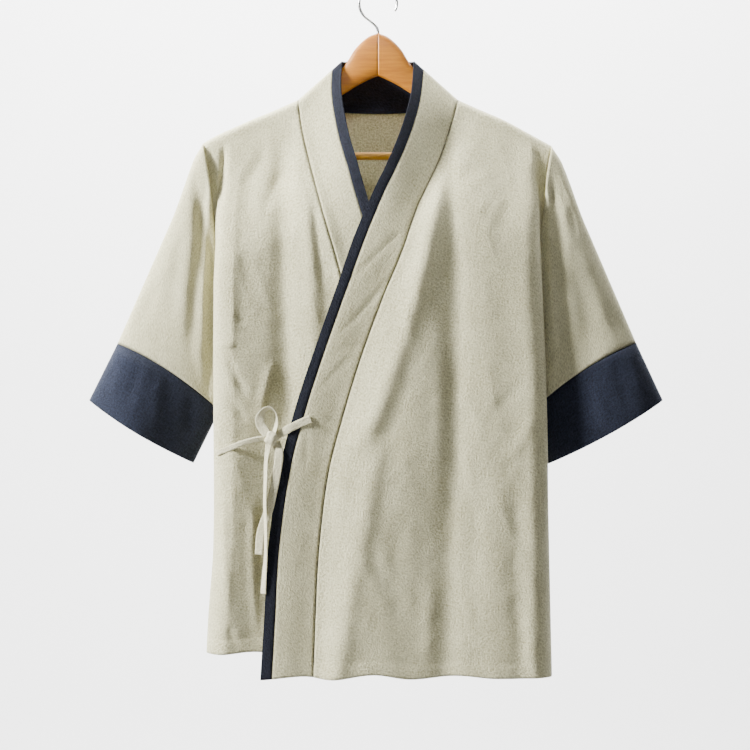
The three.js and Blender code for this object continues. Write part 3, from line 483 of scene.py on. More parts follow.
def relief(folds: Table, x, z) -> np.ndarray:
    """Work out how far the large folds lift the cloth.

    Args:
        folds: the table of folds.
        x: the places across.
        z: the places up and down.

    Returns:
        The lift in millimetres.
    """
    lift = np.zeros(np.broadcast(x, z).shape)
    for fold in folds.rows():
        t = np.clip((fold["top"] - z) / (fold["top"] - fold["low"]), 0, 1)
        inside = ease((fold["top"] - z) / FOLD_FADE) * ease((z - fold["low"]) / FOLD_FADE)
        bend = 4 * (fold["x_mid"] - (fold["x_top"] + fold["x_low"]) / 2) * t * (1 - t)
        middle = mix(fold["x_top"], fold["x_low"], t) + bend
        wide = mix(fold["wide_top"], fold["wide_low"], t)
        lift = lift + fold["rise"] * inside * hump(x - middle, wide)
    return lift


def creased(creases: Table, x, z) -> np.ndarray:
    """Work out how far the finer creases lift the cloth.

    Args:
        creases: the table of creases.
        x: the places across.
        z: the places up and down.

    Returns:
        The lift in millimetres.
    """
    lift = np.zeros(np.broadcast(x, z).shape)
    for crease in creases.rows():
        run = np.array([crease["to_x"] - crease["x"], crease["to_z"] - crease["z"]])
        length = np.hypot(*run)
        along = ((x - crease["x"]) * run[0] + (z - crease["z"]) * run[1]) / length**2
        aside = ((x - crease["x"]) * run[1] - (z - crease["z"]) * run[0]) / length
        t = np.clip(along, 0, 1)
        aside = aside - 4 * crease["bow"] * t * (1 - t)
        fade = ease(along / 0.3) * ease((1 - along) / 0.4)
        lift = lift + crease["rise"] * fade * hump(aside, crease["wide"])
    return lift


def patchy(x, z, seed: float) -> np.ndarray:
    """Give smooth random values, the same on every run.

    Args:
        x: the places across, in cells.
        z: the places up and down, in cells.
        seed: a number that picks the pattern.

    Returns:
        A value from -1 to 1 at each place.
    """
    i, j = np.floor(x), np.floor(z)
    u, v = ease(x - i), ease(z - j)

    def corner(a: int, b: int) -> np.ndarray:
        wave = np.sin((i + a) * 12.9898 + (j + b) * 78.233 + seed * 37.719) * 4375.85453
        return wave - np.floor(wave)

    top = mix(corner(0, 0), corner(1, 0), u)
    return 2 * mix(top, mix(corner(0, 1), corner(1, 1), u), v) - 1


def crumple(x, z, seed: float) -> np.ndarray:
    """Give the small unevenness of hanging linen, longer up and down than across.

    Args:
        x: the places across.
        z: the places up and down.
        seed: a number that picks the pattern.

    Returns:
        The lift in millimetres.
    """
    wander = 9 * patchy(x / 70, z / 90, seed + 5)
    broad = 0.8 * patchy((x + wander) / 33, (z + wander) / 104, seed)
    folds = 0.4 * (1 - 2 * np.abs(patchy((x + 0.3 * z + wander) / 27, (z - wander) / 62, seed + 1)))
    small = 0.22 * patchy((x - 0.4 * z) / 11, z / 19, seed + 2)
    return broad + folds + small


def shoulder_z(x) -> np.ndarray:
    """Give the height of the shoulder line.

    Args:
        x: half widths.

    Returns:
        The heights.
    """
    return np.where(x < NECK_HALF, NECK_Z, SHOULDER.at("x", np.minimum(x, TIP_X), "z"))


def depth_share(drop, depth: float) -> np.ndarray:
    """Give the share of the full depth that the body has below its shoulder line.

    Args:
        drop: the drops below the shoulder line.
        depth: the full depth.

    Returns:
        The shares.
    """
    over = np.clip(drop / RIDGE_DROP, 0, 1)
    rounded = RIDGE_ROUND * np.sqrt(1 - (1 - over) ** 2)
    return (rounded + (depth - RIDGE_ROUND) * ease(drop / SWELL_DROP)) / depth


@dataclass(frozen=True)
class Half:
    """One half of the jacket. side is +1 on the wearer's left, whose front lies over the other.

    seam and mouth are the outer and the inner end of the cuff's two rims, as (x, z). sink is how far the
    collar's seam draws the cloth in, and over which widths on the front's side and on the collar's.
    """

    side: int
    collar: Table
    edge: Table
    folds: Table
    fall: Table
    hem: float
    hem_wave: Table
    seam: tuple
    mouth: tuple
    sleeve_creases: Table
    edge_ease: float
    sink: tuple
    cuff_bulge: float
    seed: float

    def covered(self, x, z) -> np.ndarray:
        """Say how far a place lies behind the other front.

        Args:
            x: places counted towards this half's own side.
            z: heights.

        Returns:
            0 where it shows and 1 where it is well behind.
        """
        if self.side > 0:
            return np.zeros(np.broadcast(x, z).shape)
        return ease((-x - LEFT_COLLAR.at("edge_z", z, "edge_x")) / COVER_RUN)

    def lift(self, x, z, share) -> np.ndarray:
        """Give the lift of the large folds. Covered cloth follows the dips of the front that lies on it.

        Args:
            x: places counted towards this half's own side.
            z: heights.
            share: the share of the folds that this cloth follows.

        Returns:
            The lift in millimetres.
        """
        own = share * relief(self.folds, x * self.side, z)
        if self.side > 0:
            return own
        before = relief(LEFT_FOLDS, -x, z) - LEFT.seam_valley(-x - LEFT_COLLAR.at("z", z, "x"), -x, z)
        return mix(own, np.minimum(0, before), self.covered(x, z))

    def fine(self, x, z, share) -> np.ndarray:
        """Give the lift of the creases and the unevenness, none where the other front or a tie lies on it.

        Args:
            x: places counted towards this half's own side.
            z: heights.
            share: the share of them that this cloth follows.

        Returns:
            The lift in millimetres.
        """
        across = x * self.side
        pressed = [hump(across - to_x, wide) * hump(z - to_z, high) for to_x, to_z, wide, high in TIE_SPOTS]
        bare = (1 - self.covered(x, z)) * (1 - np.max(pressed, axis=0))
        whole = creased(FRONT_CREASES, across, z) + crumple(across, z, self.seed)
        return share * bare * ease((shoulder_z(np.abs(x)) - z) / CREASE_DROP) * whole

    def seam_valley(self, distance, x, z) -> np.ndarray:
        """Give how far the collar's seam draws the cloth on both its sides in.

        Args:
            distance: distances from the seam, below 0 on the collar's side.
            x: places counted towards this half's own side.
            z: heights.

        Returns:
            The dip in millimetres.
        """
        deep, outer, inner = self.sink
        dip = deep * hump(distance, np.where(distance < 0, inner, outer))
        return dip * ease((NECK_Z - z) / VALLEY_DROP) * (1 - self.covered(x, z))

    def fallen(self, x, z) -> np.ndarray:
        """Give how far the cloth has fallen away to the wearer's left.

        Args:
            x: places counted towards this half's own side.
            z: heights.

        Returns:
            The fall in millimetres.
        """
        across = x * self.side
        share = (across - self.fall.at("z", z, "foot")) / self.fall.at("z", z, "wide") + 1
        own = self.fall.at("z", z, "drop") * ease(share)
        if self.side > 0:
            return own
        return np.maximum(own, LEFT.fallen(across, z) * self.covered(x, z))

    def base_depth(self, x, z) -> np.ndarray:
        """Give the front's depth without its folds.

        Args:
            x: places counted towards this half's own side.
            z: heights.

        Returns:
            The depths.
        """
        drop = shoulder_z(np.abs(x)) - z
        step = 0 if self.side > 0 else LAP_STEP * ease(drop / LAP_DROP)
        turn = self.edge.at("z", z, "x") - EDGE_ROUND
        eased = 1 - self.edge_ease * ease((x - EASE_START) / (turn - EASE_START)) * ease(drop / LAP_DROP)
        return (FRONT_DEPTH * depth_share(drop, FRONT_DEPTH) - step) * eased


LEFT = Half(
    side=1, collar=LEFT_COLLAR, edge=LEFT_EDGE, folds=LEFT_FOLDS, fall=LEFT_FALL, hem=LEFT_HEM_Z,
    hem_wave=LEFT_HEM, seam=((329, -455), (200, -538)), mouth=((363, -528), (217, -609)),
    sleeve_creases=LEFT_SLEEVE_CREASES, edge_ease=0.04, sink=(7, 20, 32), cuff_bulge=1.0, seed=1.0,
)
RIGHT = Half(
    side=-1, collar=RIGHT_COLLAR, edge=RIGHT_EDGE, folds=RIGHT_FOLDS, fall=RIGHT_FALL, hem=RIGHT_HEM_Z,
    hem_wave=RIGHT_HEM, seam=((332, -456), (202, -541)), mouth=((368, -528), (235, -608)),
    sleeve_creases=RIGHT_SLEEVE_CREASES, edge_ease=0.1, sink=(-3, 9, 9), cuff_bulge=8.0, seed=2.0,
)


def placed(half: Half, x, y, z) -> np.ndarray:
    """Put points of the body or a sleeve in their place.

    Args:
        half: the half of the jacket.
        x: places counted towards this half's own side.
        y: places to the back.
        z: heights.

    Returns:
        The points.
    """
    x, y, z = np.broadcast_arrays(x, y, z)
    near = 0.0
    if half.side < 0:
        near = hump(x - TIP_PLACE[0], TIP_SPREAD[0]) * hump(z - TIP_PLACE[1], TIP_SPREAD[1])
    return np.stack([half.side * (x + TIP_SHIFT[0] * near), y, z + TIP_SHIFT[1] * near], axis=-1)


def edge_round(depth, z) -> np.ndarray:
    """Give how much of the depth the turn at the body's edge takes up.

    Args:
        depth: depths.
        z: heights.

    Returns:
        The depths that the turn takes up.
    """
    return depth * mix(*EDGE_ROUND_SHARES, ease((EDGE_ROUND_Z - z) / EDGE_ROUND_RUN))


def side_seam(z, edge_x) -> tuple:
    """Say where the cloth ends at the side, at the armhole above and the side seam below.

    Args:
        z: heights.
        edge_x: half the body's width there.

    Returns:
        The half widths and the depths.
    """
    x = SIDE.at("z", z, "x")
    x = np.where(z < SIDE_CLEAR_Z, np.minimum(x, edge_x), x)
    return x, np.where(z <= ARMPIT_Z, 0, SIDE.at("z", z, "depth"))


def spaced(values: tuple, step: float) -> np.ndarray:
    """Part a run of values into steps that are no longer than one length.

    Args:
        values: the values to pass.
        step: the longest step.

    Returns:
        The values with others between them.
    """
    parts = [values[0]]
    for start, end in zip(values, values[1:]):
        count = max(1, math.ceil(abs(end - start) / step))
        parts.extend(mix(start, end, n / count) for n in range(1, count + 1))
    return np.array(parts, float)


def seam_steps(count: int, fine: int = 4) -> np.ndarray:
    """Give shares from 0 to 1, closer together at both ends, where the seams draw the cloth in.

    Args:
        count: the steps between the two ends.
        fine: the closer steps at each end.

    Returns:
        The shares.
    """
    even = np.linspace(0, 1, count + 1)
    start = np.linspace(0, even[1], fine + 1)
    return np.concatenate([start, even[2:-2], 1 - start[::-1]])


# The body's grid: the longest step between its rows, and the units across its flat part and each turn
BODY_STEP = 3.2
FLAT = 11
TURN = 3
LAST = FLAT + 2 * TURN

# How many steps each stretch of the cloth is parted into
FRONT_STEPS = 84
NECK_STEPS = 45
SHOULDER_STEPS = 33
TURN_STEPS = 32
BAND_STEPS = 16
EDGING_STEPS = 8
CUFF_STEPS = 24
TIE_STEPS = 12


def body_heights() -> np.ndarray:
    """Give the heights of the body's rows at its outer edge.

    Returns:
        The heights, as a column.
    """
    return spaced((*ARMHOLE_ROWS, LEFT_HEM_Z), BODY_STEP)[:, None]


def outer_z(rows: np.ndarray, hem: float) -> np.ndarray:
    """Give the heights at the outer edge when the hem hangs at another height.

    Args:
        rows: the rows' heights.
        hem: the hem's height.

    Returns:
        The heights.
    """
    below = mix(ARMPIT_Z, hem, (ARMPIT_Z - rows) / (ARMPIT_Z - LEFT_HEM_Z))
    return np.where(rows >= ARMPIT_Z, rows, below)


def edge_turn(edge_x, flat_depth, drop, z, n) -> tuple:
    """Carry the cloth round the body's edge and back in to its seam.

    Args:
        edge_x: half the body's width.
        flat_depth: the depth where the turn begins.
        drop: the drop below the shoulder line there.
        z: the heights at the seam.
        n: how far along, 0 where the turn begins and 2 * TURN at the seam.

    Returns:
        The half widths and the depths.
    """
    rounded = edge_round(flat_depth, z) * ease(drop / EDGE_TURN_DROP)
    angle = np.clip(n / TURN, 0, 1) * math.pi / 2
    seam_x, seam_depth = side_seam(z, edge_x)
    share = np.clip(n / TURN - 1, 0, 1)
    x_out = edge_x - EDGE_ROUND * (1 - np.sin(angle))
    depth_out = flat_depth - rounded * (1 - np.cos(angle))
    x_in = mix(seam_x, edge_x, np.cos(share * math.pi / 2))
    depth_in = mix(flat_depth - rounded, seam_depth, share)
    return np.where(n <= TURN, x_out, x_in), np.where(n <= TURN, depth_out, depth_in)


def seam_dip(distance, deep: float, wide: float = SEAM_WIDE) -> np.ndarray:
    """Draw the cloth in beside a sewn line.

    Args:
        distance: distances from the line.
        deep: how far it is drawn in.
        wide: over which half width.

    Returns:
        The dip in millimetres.
    """
    return deep * hump(distance, wide)


def band_seams(share, wide) -> np.ndarray:
    """Draw the collar in at its seam and where its edging starts.

    Args:
        share: shares of the collar's width.
        wide: the collar's width.

    Returns:
        The dip in millimetres.
    """
    return seam_dip(share * wide, SEAM_DEEP) + seam_dip((share - EDGING_START) * wide, EDGING_SEAM_DEEP)


def hemmed(z, hem: float) -> np.ndarray:
    """Raise the turned-up hem a little, with a step at its sewn line.

    Args:
        z: heights.
        hem: the hem's height.

    Returns:
        The rise in millimetres.
    """
    up = z - hem
    return HEM_RISE * (1 - ease((up - HEM_TURN + 1) / 4)) - seam_dip(up - HEM_TURN, *HEM_SEAM)


def hem_wave(half: Half, x, z) -> np.ndarray:
    """Give how far the front's hem is drawn up, and the cloth just above it with it.

    Args:
        half: the half of the jacket.
        x: places counted towards this half's own side.
        z: heights.

    Returns:
        The rise in millimetres.
    """
    return half.hem_wave.at("x", x * half.side, "up") * (1 - ease((z - half.hem) / HEM_RUN))


def front_points(half: Half) -> np.ndarray:
    """Work out one front from its collar seam to its armhole and side seam.

    Args:
        half: the half of the jacket.

    Returns:
        The grid of points, rows down.
    """
    rows = body_heights()
    flat = FLAT * seam_steps(FRONT_STEPS)
    n = np.concatenate([flat[:-4], FLAT + np.linspace(0, 2 * TURN, TURN_STEPS + 1)])[None, :]
    down = (rows - TIP_Z) / (LEFT_HEM_Z - TIP_Z)
    in_z = mix(NECK_Z, half.hem, down)
    out_z = outer_z(rows, half.hem)
    seam_x = half.collar.at("z", in_z, "x")
    edge_x = half.edge.at("z", out_z, "x")
    top_x, _ = edge_turn(edge_x[0], 0.0, 0.0, TIP_Z, n[0] - FLAT)
    top_x = np.where(n[0] <= FLAT, mix(seam_x[0], edge_x[0] - EDGE_ROUND, n[0] / FLAT), top_x)
    bow = shoulder_z(top_x) - mix(NECK_Z, TIP_Z, n / LAST)
    z = mix(in_z, out_z, n / LAST) + bow * (1 - down) ** 4
    x = mix(seam_x, edge_x - EDGE_ROUND, np.minimum(n, FLAT) / FLAT)
    away = x - seam_x
    share = mix(BAND_FOLD_SHARE, 1, ease(away / BAND_NEAR))
    depth = half.base_depth(x, z) + half.lift(x, z, share) * ease(down * AT_ONCE)
    depth = depth - half.fallen(x, z) - half.seam_valley(away, x, z)
    flat_column = int(np.argmax(n[0] >= FLAT))
    flat_depth = depth[:, flat_column : flat_column + 1]
    drop = shoulder_z(edge_x) - z[:, flat_column : flat_column + 1]
    turn_x, turn_depth = edge_turn(edge_x, flat_depth, drop, out_z, n - FLAT)
    x = np.where(n <= FLAT, x, turn_x)
    depth = np.where(n <= FLAT, depth, turn_depth)
    fine = half.fine(x, z, mix(BAND_FINE_SHARE, 1, ease(away / BAND_NEAR)))
    fine = fine + hemmed(z, half.hem) - seam_dip(away, SEAM_DEEP)
    depth = depth + fine * ease(down * AT_ONCE) * (1 - ease((n - FLAT - TURN) / TURN))
    z = z + hem_wave(half, x, z)
    return placed(half, x, -depth, z)


def collar_points(half: Half, start: float, end: float, columns: int) -> np.ndarray:
    """Work out the collar beside a front, between two shares of its width.

    Args:
        half: the half of the jacket.
        start: the share where it starts, 0 at the seam.
        end: the share where it ends, 1 at the free edge.
        columns: the steps across.

    Returns:
        The grid of points, rows down.
    """
    rows = body_heights()
    down = (rows - TIP_Z) / (LEFT_HEM_Z - TIP_Z)
    z = mix(NECK_Z, half.hem, down)
    across = seam_steps(columns)[None, :]
    share = mix(start, end, across)
    seam_x, edge_x = half.collar.at("z", z, "x"), half.collar.at("z", z, "edge_x")
    x = mix(seam_x, edge_x, share)
    height = mix(z, half.collar.at("z", z, "edge_z"), share)
    folds = half.lift(x, height, BAND_FOLD_SHARE) * np.where(share > 0, ease(down * SLOWLY), 1)
    fine = half.fine(x, height, BAND_FINE_SHARE) * ease(down * SOON)
    crown = BAND_CROWN * share * (1 - share) * ease(down * SLOWLY)
    plain = mix(half.base_depth(seam_x, z), half.collar.at("z", z, "edge_depth"), share)
    wide = np.hypot(seam_x - edge_x, z - half.collar.at("z", z, "edge_z"))
    depth = plain + folds + crown + fine - band_seams(share, wide) * ease(down * AT_ONCE)
    depth = depth - half.fallen(x, height) - half.seam_valley(-share * wide, x, height)
    return np.stack([x * half.side, -depth, height + hem_wave(half, x, height)], axis=-1)


def neck_points(start: float, end: float, columns: int, inset: float = 0) -> np.ndarray:
    """Work out the collar round the back of the neck, from the left neck point to the right one.

    Args:
        start: the share of its width where it starts, 0 at the seam.
        end: the share where it ends, 1 at the top.
        columns: the steps up.
        inset: how far inside the collar's own face it lies.

    Returns:
        The grid of points, a row for each step round.
    """
    angle = np.radians(np.linspace(0, 180, 121))[:, None]
    share = mix(start, end, seam_steps(columns))[None, :]
    rounded = np.sin(angle)
    across = mix(NECK_HALF, COLLAR_HALF, share)
    back = mix(BACK_DEPTH, BACK_COLLAR_DEPTH, share)
    seam_z = NECK_Z - NECK_DIP * rounded
    top_z = mix(COLLAR_SIDE_Z, BACK_COLLAR_TOP, rounded)
    crown = BAND_CROWN * share * (1 - share)
    ripple = 0.8 * patchy(angle * 5, share * 1.4, 8) * rounded
    x = across * np.cos(angle)
    raised = back + crown + ripple - band_seams(share, BAND_WIDE)
    y = COLLAR_SIDE_Y * share * (1 - rounded) + raised * rounded**NECK_SQUARENESS
    z = mix(seam_z, top_z, share)
    if inset:
        length = np.maximum(np.hypot(x, y), 1)
        x, y = x - inset * x / length, y - inset * y / length
    return np.stack([x, y, z], axis=-1)


def back_half(half: Half) -> np.ndarray:
    """Work out one half of the back, from its middle to its armhole and side seam.

    Args:
        half: the half of the jacket.

    Returns:
        The grid of points, rows down.
    """
    rows = body_heights()
    neck, shoulder = 6, 4
    flat_last = neck + shoulder
    m = np.concatenate([
        np.linspace(0, neck, NECK_STEPS + 1),
        neck + np.linspace(0, shoulder, SHOULDER_STEPS + 1)[1:],
        flat_last + np.linspace(0, 2 * TURN, TURN_STEPS + 1)[1:],
    ])[None, :]
    down = (rows - TIP_Z) / (LEFT_HEM_Z - TIP_Z)
    hem, out_hem = (LEFT_HEM_Z + RIGHT_HEM_Z) / 2, half.hem + 2
    out_z = outer_z(rows, out_hem)
    edge_x = half.edge.at("z", out_z, "x")
    top_turn = float(half.edge.at("z", TIP_Z, "x")) - EDGE_ROUND
    turn = edge_x - EDGE_ROUND
    flat_m = np.minimum(m, flat_last)
    around = np.radians(90 - 90 / neck * np.minimum(flat_m, neck))
    beyond = mix(NECK_HALF, top_turn, (flat_m - neck) / shoulder)
    top_x = np.where(flat_m <= neck, NECK_HALF * np.cos(around), beyond)
    arc = np.sqrt(np.clip(1 - (top_x / NECK_HALF) ** 2, 0, 1))
    top_z = np.where(flat_m <= neck, NECK_Z - NECK_DIP * arc, shoulder_z(top_x))
    top_depth = np.where(flat_m <= neck, BACK_DEPTH * arc**NECK_SQUARENESS, 0)
    x = top_x * (turn / top_turn)
    low_z = mix(hem, out_hem, flat_m / FLAT)
    z = mix(top_z, low_z, down)
    drop = top_z - z
    eased = 1 - EDGE_EASE * ease((x - EASE_START) / (turn - EASE_START)) * ease(drop / LAP_DROP)
    across = x * half.side
    lift = relief(BACK_FOLDS, across, z) * ease(drop / LAP_DROP)
    depth = mix(top_depth, BACK_DEPTH, depth_share(drop, BACK_DEPTH)) * eased + lift
    column = int(np.argmax(m[0] >= flat_last))
    flat_depth, flat_z = depth[:, column : column + 1], z[:, column : column + 1]
    turn_drop = shoulder_z(edge_x) - flat_z
    turn_x, turn_depth = edge_turn(edge_x, flat_depth, turn_drop, out_z, m - flat_last)
    turn_z = np.where(down <= 0, shoulder_z(turn_x), mix(flat_z, out_z, (m - flat_last) / (2 * TURN)))
    x = np.where(m <= flat_last, x, turn_x)
    z = np.where(m <= flat_last, z, turn_z)
    depth = np.where(m <= flat_last, depth, turn_depth)
    fine = creased(BACK_CREASES, x * half.side, z) + crumple(x * half.side, z, 3.0)
    fine = fine * ease(down * SOON) + hemmed(z, low_z)
    fine = fine - seam_dip(drop, SEAM_DEEP) * (top_depth > 1)
    depth = depth + fine * (1 - ease((m - flat_last - TURN) / TURN)) * ease(down * AT_ONCE + (top_depth > 1))
    return placed(half, x, depth, z)


def back_points() -> np.ndarray:
    """Work out the whole back, from the wearer's right to the left.

    Returns:
        The grid of points, rows down.
    """
    return np.concatenate([back_half(RIGHT)[:, ::-1], back_half(LEFT)[:, 1:]], axis=1)


def ring_heights() -> np.ndarray:
    """Give the heights of the armhole's points, from the shoulder tip to the armpit.

    Returns:
        The heights.
    """
    return spaced(ARMHOLE_ROWS, 5)


def as_ring(front: np.ndarray) -> np.ndarray:
    """Close a ring from its front half.

    Args:
        front: x, depth and z of the front half, top to bottom.

    Returns:
        x, y and z of the ring, whose first point is given again at its end.
    """
    before = front * (1, -1, 1)
    return np.concatenate([before, front[-2::-1]], axis=0)


def cuff_ring(ends: np.ndarray, bow: float) -> np.ndarray:
    """Work out one ring of the cuff.

    Args:
        ends: x and z of its outer end, and of its inner end.
        bow: how far its middle is bowed up.

    Returns:
        The ring.
    """
    z = ring_heights()
    share = (TIP_Z - z) / (TIP_Z - ARMPIT_Z)
    depth = CUFF_DEPTH * np.sin(np.arccos(np.clip(1 - 2 * share, -1, 1))) * (1 - INNER_THINNING * share**2)
    (out_x, out_z), (in_x, in_z) = ends
    height = mix(out_z, in_z, share) + bow * 4 * share * (1 - share)
    return as_ring(np.stack([mix(out_x, in_x, share), depth, height], axis=-1))


def sleeve_points(half: Half) -> np.ndarray:
    """Work out a sleeve from the armhole to the cuff's seam.

    Args:
        half: the half of the jacket.

    Returns:
        The grid of points, a row for each ring.
    """
    heights = ring_heights()
    seam_x, seam_depth = side_seam(heights, TIP_X)
    low = ease((LIFT_START - heights) / (LIFT_START - ARMPIT_Z))
    top_depth = np.maximum(0, seam_depth - ARMHOLE_STEP / 2)
    top = np.stack([seam_x + ARMHOLE_STEP + low, top_depth, heights + LIFT_UP * low], axis=-1)
    start, end = as_ring(top)[None], cuff_ring(half.seam, SEAM_BOW)[None]
    ring_z = np.concatenate([heights, heights[-2::-1]])[None, :]
    step = np.concatenate([spaced((0, 0.2), 0.02), spaced((0.2, 1), 0.014)[1:]])[:, None]
    point = mix(start, end, step[..., None])
    x, z = point[..., 0], point[..., 2]
    faces = np.sign(start[..., 1] + end[..., 1])
    flat = mix(np.abs(start[..., 1]), np.abs(end[..., 1]), step)
    rim = np.abs(end[..., 1]) / CUFF_DEPTH
    low = ease((LIFT_START - start[..., 2]) / (LIFT_START - ARMPIT_Z))
    x = x + LIFT_OUT * low * ease(step / 0.15) * (1 - step)
    cap = 1 - ease((CAP_Z - ring_z) / CAP_RUN)
    x = x + SHOULDER_CAP * (1 - rim) * ease(step / 0.08) * (1 - ease((step - 0.1) / 0.3)) * cap
    past = x - half.edge.at("z", z, "x") - 1
    swell = SLEEVE_SWELL * ease(past / SLEEVE_SWELL_RUN) * (1 - ease((step - 0.25) / 0.75))
    trough = TROUGH_DEEP * hump(past - TROUGH_START - TROUGH_DRIFT * step, TROUGH_WIDE)
    depth = flat + rim * (swell - trough * ease(step / 0.1) * (1 - ease((step - 0.4) / 0.5)))
    across = x * half.side
    turned = np.where(faces > 0, BEHIND_SLEEVE, 0.0)
    fine = creased(half.sleeve_creases, across, z - turned) + crumple(across, z + turned, half.seed + 10)
    free = ease(past / 8) * ease(step / 0.12) * ease((1 - step) / 0.06)
    depth = depth + np.minimum(1, 1.4 * rim) * fine * free
    depth = depth - seam_dip((1 - step) * SLEEVE_LONG, SEAM_DEEP) * np.minimum(1, 2 * rim)
    return placed(half, x, faces * depth, z)


def cuff_points(half: Half) -> np.ndarray:
    """Work out a cuff from its seam to its mouth.

    Args:
        half: the half of the jacket.

    Returns:
        The grid of points, a row for each ring.
    """
    seam, mouth = np.array(half.seam), np.array(half.mouth)
    step = seam_steps(CUFF_STEPS)[:, None]
    rings = [cuff_ring(mix(seam, mouth, at), mix(SEAM_BOW, MOUTH_BOW, at)) for (at,) in step]
    x, y, z = np.moveaxis(rings, -1, 0)
    faces, rim = np.sign(y), np.minimum(1, np.abs(y) / CUFF_RIM)
    turned = np.where(faces > 0, BEHIND_CUFF, 0.0)
    fine = creased(CUFF_CREASES, x + turned, z) + 0.8 * crumple(x + turned, z, half.seed + 20)
    fine = fine + half.cuff_bulge * hump(x - CUFF_BULGE_X, CUFF_BULGE_WIDE)
    ends = seam_dip(step * CUFF_LONG, SEAM_DEEP) + seam_dip((1 - step) * CUFF_LONG, 0.4)
    puff = 1.2 * np.sin(math.pi * step) ** 0.6 - ends
    y = y + faces * rim * (fine * ease(step / 0.15) + puff)
    return np.stack([x * half.side, y, z], axis=-1)


def tie_points(rows: Table, wall: float, seed: float) -> np.ndarray:
    """Work out a tie as a flattened tube round its table's middle line.

    Args:
        rows: the tie's table.
        wall: its thickness.
        seed: picks its unevenness.

    Returns:
        The grid of points, a row for each ring, whose first point is given again at its end.
    """
    table = rows.rows()
    keyed = Table("n x y z wide turn", *[
        (n, row["x"], -row["depth"], row["z"], row["wide"], row["turn"]) for n, row in enumerate(table)
    ])
    steps = np.linspace(0, len(table) - 1, TIE_STEPS * (len(table) - 1) + 1)
    middle = np.stack([keyed.at("n", steps, name) for name in "xyz"], axis=-1)
    along = np.gradient(middle, axis=0)
    along /= np.linalg.norm(along, axis=1)[:, None]
    across = np.cross((0, 1, 0), along)
    across /= np.linalg.norm(across, axis=1)[:, None]
    out = np.cross(along, across)
    turn = np.radians(keyed.at("n", steps, "turn"))[:, None]
    wide_way = across * np.cos(turn) + out * np.sin(turn)
    thick_way = np.cross(along, wide_way)
    inward = np.where(thick_way[:, 1:2] > 0, 1.0, -1.0)
    angle = np.linspace(0, 2 * math.pi, 25)[None, :, None]
    cos, sin = np.cos(angle), np.sin(angle)
    wide = keyed.at("n", steps, "wide")[:, None, None] / 2
    flat = np.sign(cos) * np.abs(cos) ** 0.55
    s = steps[:, None, None]
    roll = 0.35 * patchy(s * 1.3, flat * 1.5, seed) + 0.25 * np.cos(3 * flat + s)
    thick = wall / 2 * (1.05 * sin + 0.5 * sin * np.abs(flat) ** 3)
    centre = middle[:, None] + (thick_way * inward)[:, None] * (wall / 2)
    return centre + wide_way[:, None] * flat * wide + thick_way[:, None] * (thick + roll * wall / 4)


def knot_points() -> np.ndarray:
    """Work out the knot as a turned bundle with the furrows of its wrapped cloth.

    Returns:
        The grid of points, a row for each ring, whose first point is given again at its end.
    """
    lean = math.radians(KNOT_LEAN)
    level = np.linspace(0.02, math.pi - 0.02, 44)[:, None]
    angle = np.linspace(0, 2 * math.pi, 61)[None, :]
    wrap = 0.085 * np.cos(5 * (level - 0.35 * np.sin(angle)) + 0.8)
    pinch = 0.10 * hump(angle - 4.4, 0.35) * np.sin(level)
    size = 0.95 + wrap - pinch + 0.03 * patchy(level * 3, np.minimum(angle, 2 * math.pi - angle) * 2, 4)
    x = KNOT_HALF[0] * size * np.sin(level) * np.cos(angle)
    y = KNOT_HALF[1] * size * np.sin(level) * np.sin(angle)
    z = KNOT_HALF[2] * size * np.cos(level) * np.ones_like(angle)
    turned_x = x * math.cos(lean) + z * math.sin(lean)
    turned_z = z * math.cos(lean) - x * math.sin(lean)
    return np.stack([turned_x, y, turned_z], axis=-1) + KNOT_PLACE


def arm_points(side: int) -> np.ndarray:
    """Work out one wooden arm of the hanger.

    Args:
        side: +1 on the wearer's left.

    Returns:
        The grid of points, a row for each ring.
    """
    x = spaced(tuple(ARM.data["x"]), ARM_STEP)
    top, low, half = (ARM.at("x", x, name)[:, None] for name in ("top", "low", "half"))
    angle = np.linspace(0, 2 * math.pi, 49)[None, :]
    y = half * np.sign(np.sin(angle)) * np.abs(np.sin(angle)) ** ARM_FILL
    z = (top + low) / 2 + (top - low) / 2 * np.sign(np.cos(angle)) * np.abs(np.cos(angle)) ** ARM_FILL
    return np.stack([np.broadcast_to(x[:, None] * side, y.shape), y, z], axis=-1)


def rod_points(middle: np.ndarray, radius: np.ndarray, sides: int) -> np.ndarray:
    """Work out a round rod along a line in the plane y = 0.

    Args:
        middle: x and z along the line.
        radius: its radius at each point.
        sides: the steps round.

    Returns:
        The grid of points, a row for each ring.
    """
    along = np.gradient(middle, axis=0)
    along /= np.linalg.norm(along, axis=1)[:, None]
    angle = np.linspace(0, 2 * math.pi, sides + 1)[None, :]
    out = radius[:, None] * np.cos(angle)
    x = middle[:, :1] - along[:, 1:] * out
    z = middle[:, 1:] + along[:, :1] * out
    return np.stack([x, radius[:, None] * np.sin(angle), z], axis=-1)


def bar_points() -> np.ndarray:
    """Work out the hanger's bar, with softly rounded ends.

    Returns:
        The grid of points.
    """
    end = BAR_REACH - np.array([0, 0.4, 1.4])
    x = np.concatenate([-end, np.linspace(BAR_END - BAR_REACH, BAR_REACH - BAR_END, 120), end[::-1]])
    radius = BAR_RADIUS - 1.2 * (1 - np.clip((BAR_REACH - np.abs(x)) / BAR_END, 0, 1)) ** 2
    return rod_points(np.stack([x, np.full_like(x, BAR_Z)], axis=-1), radius, 40)


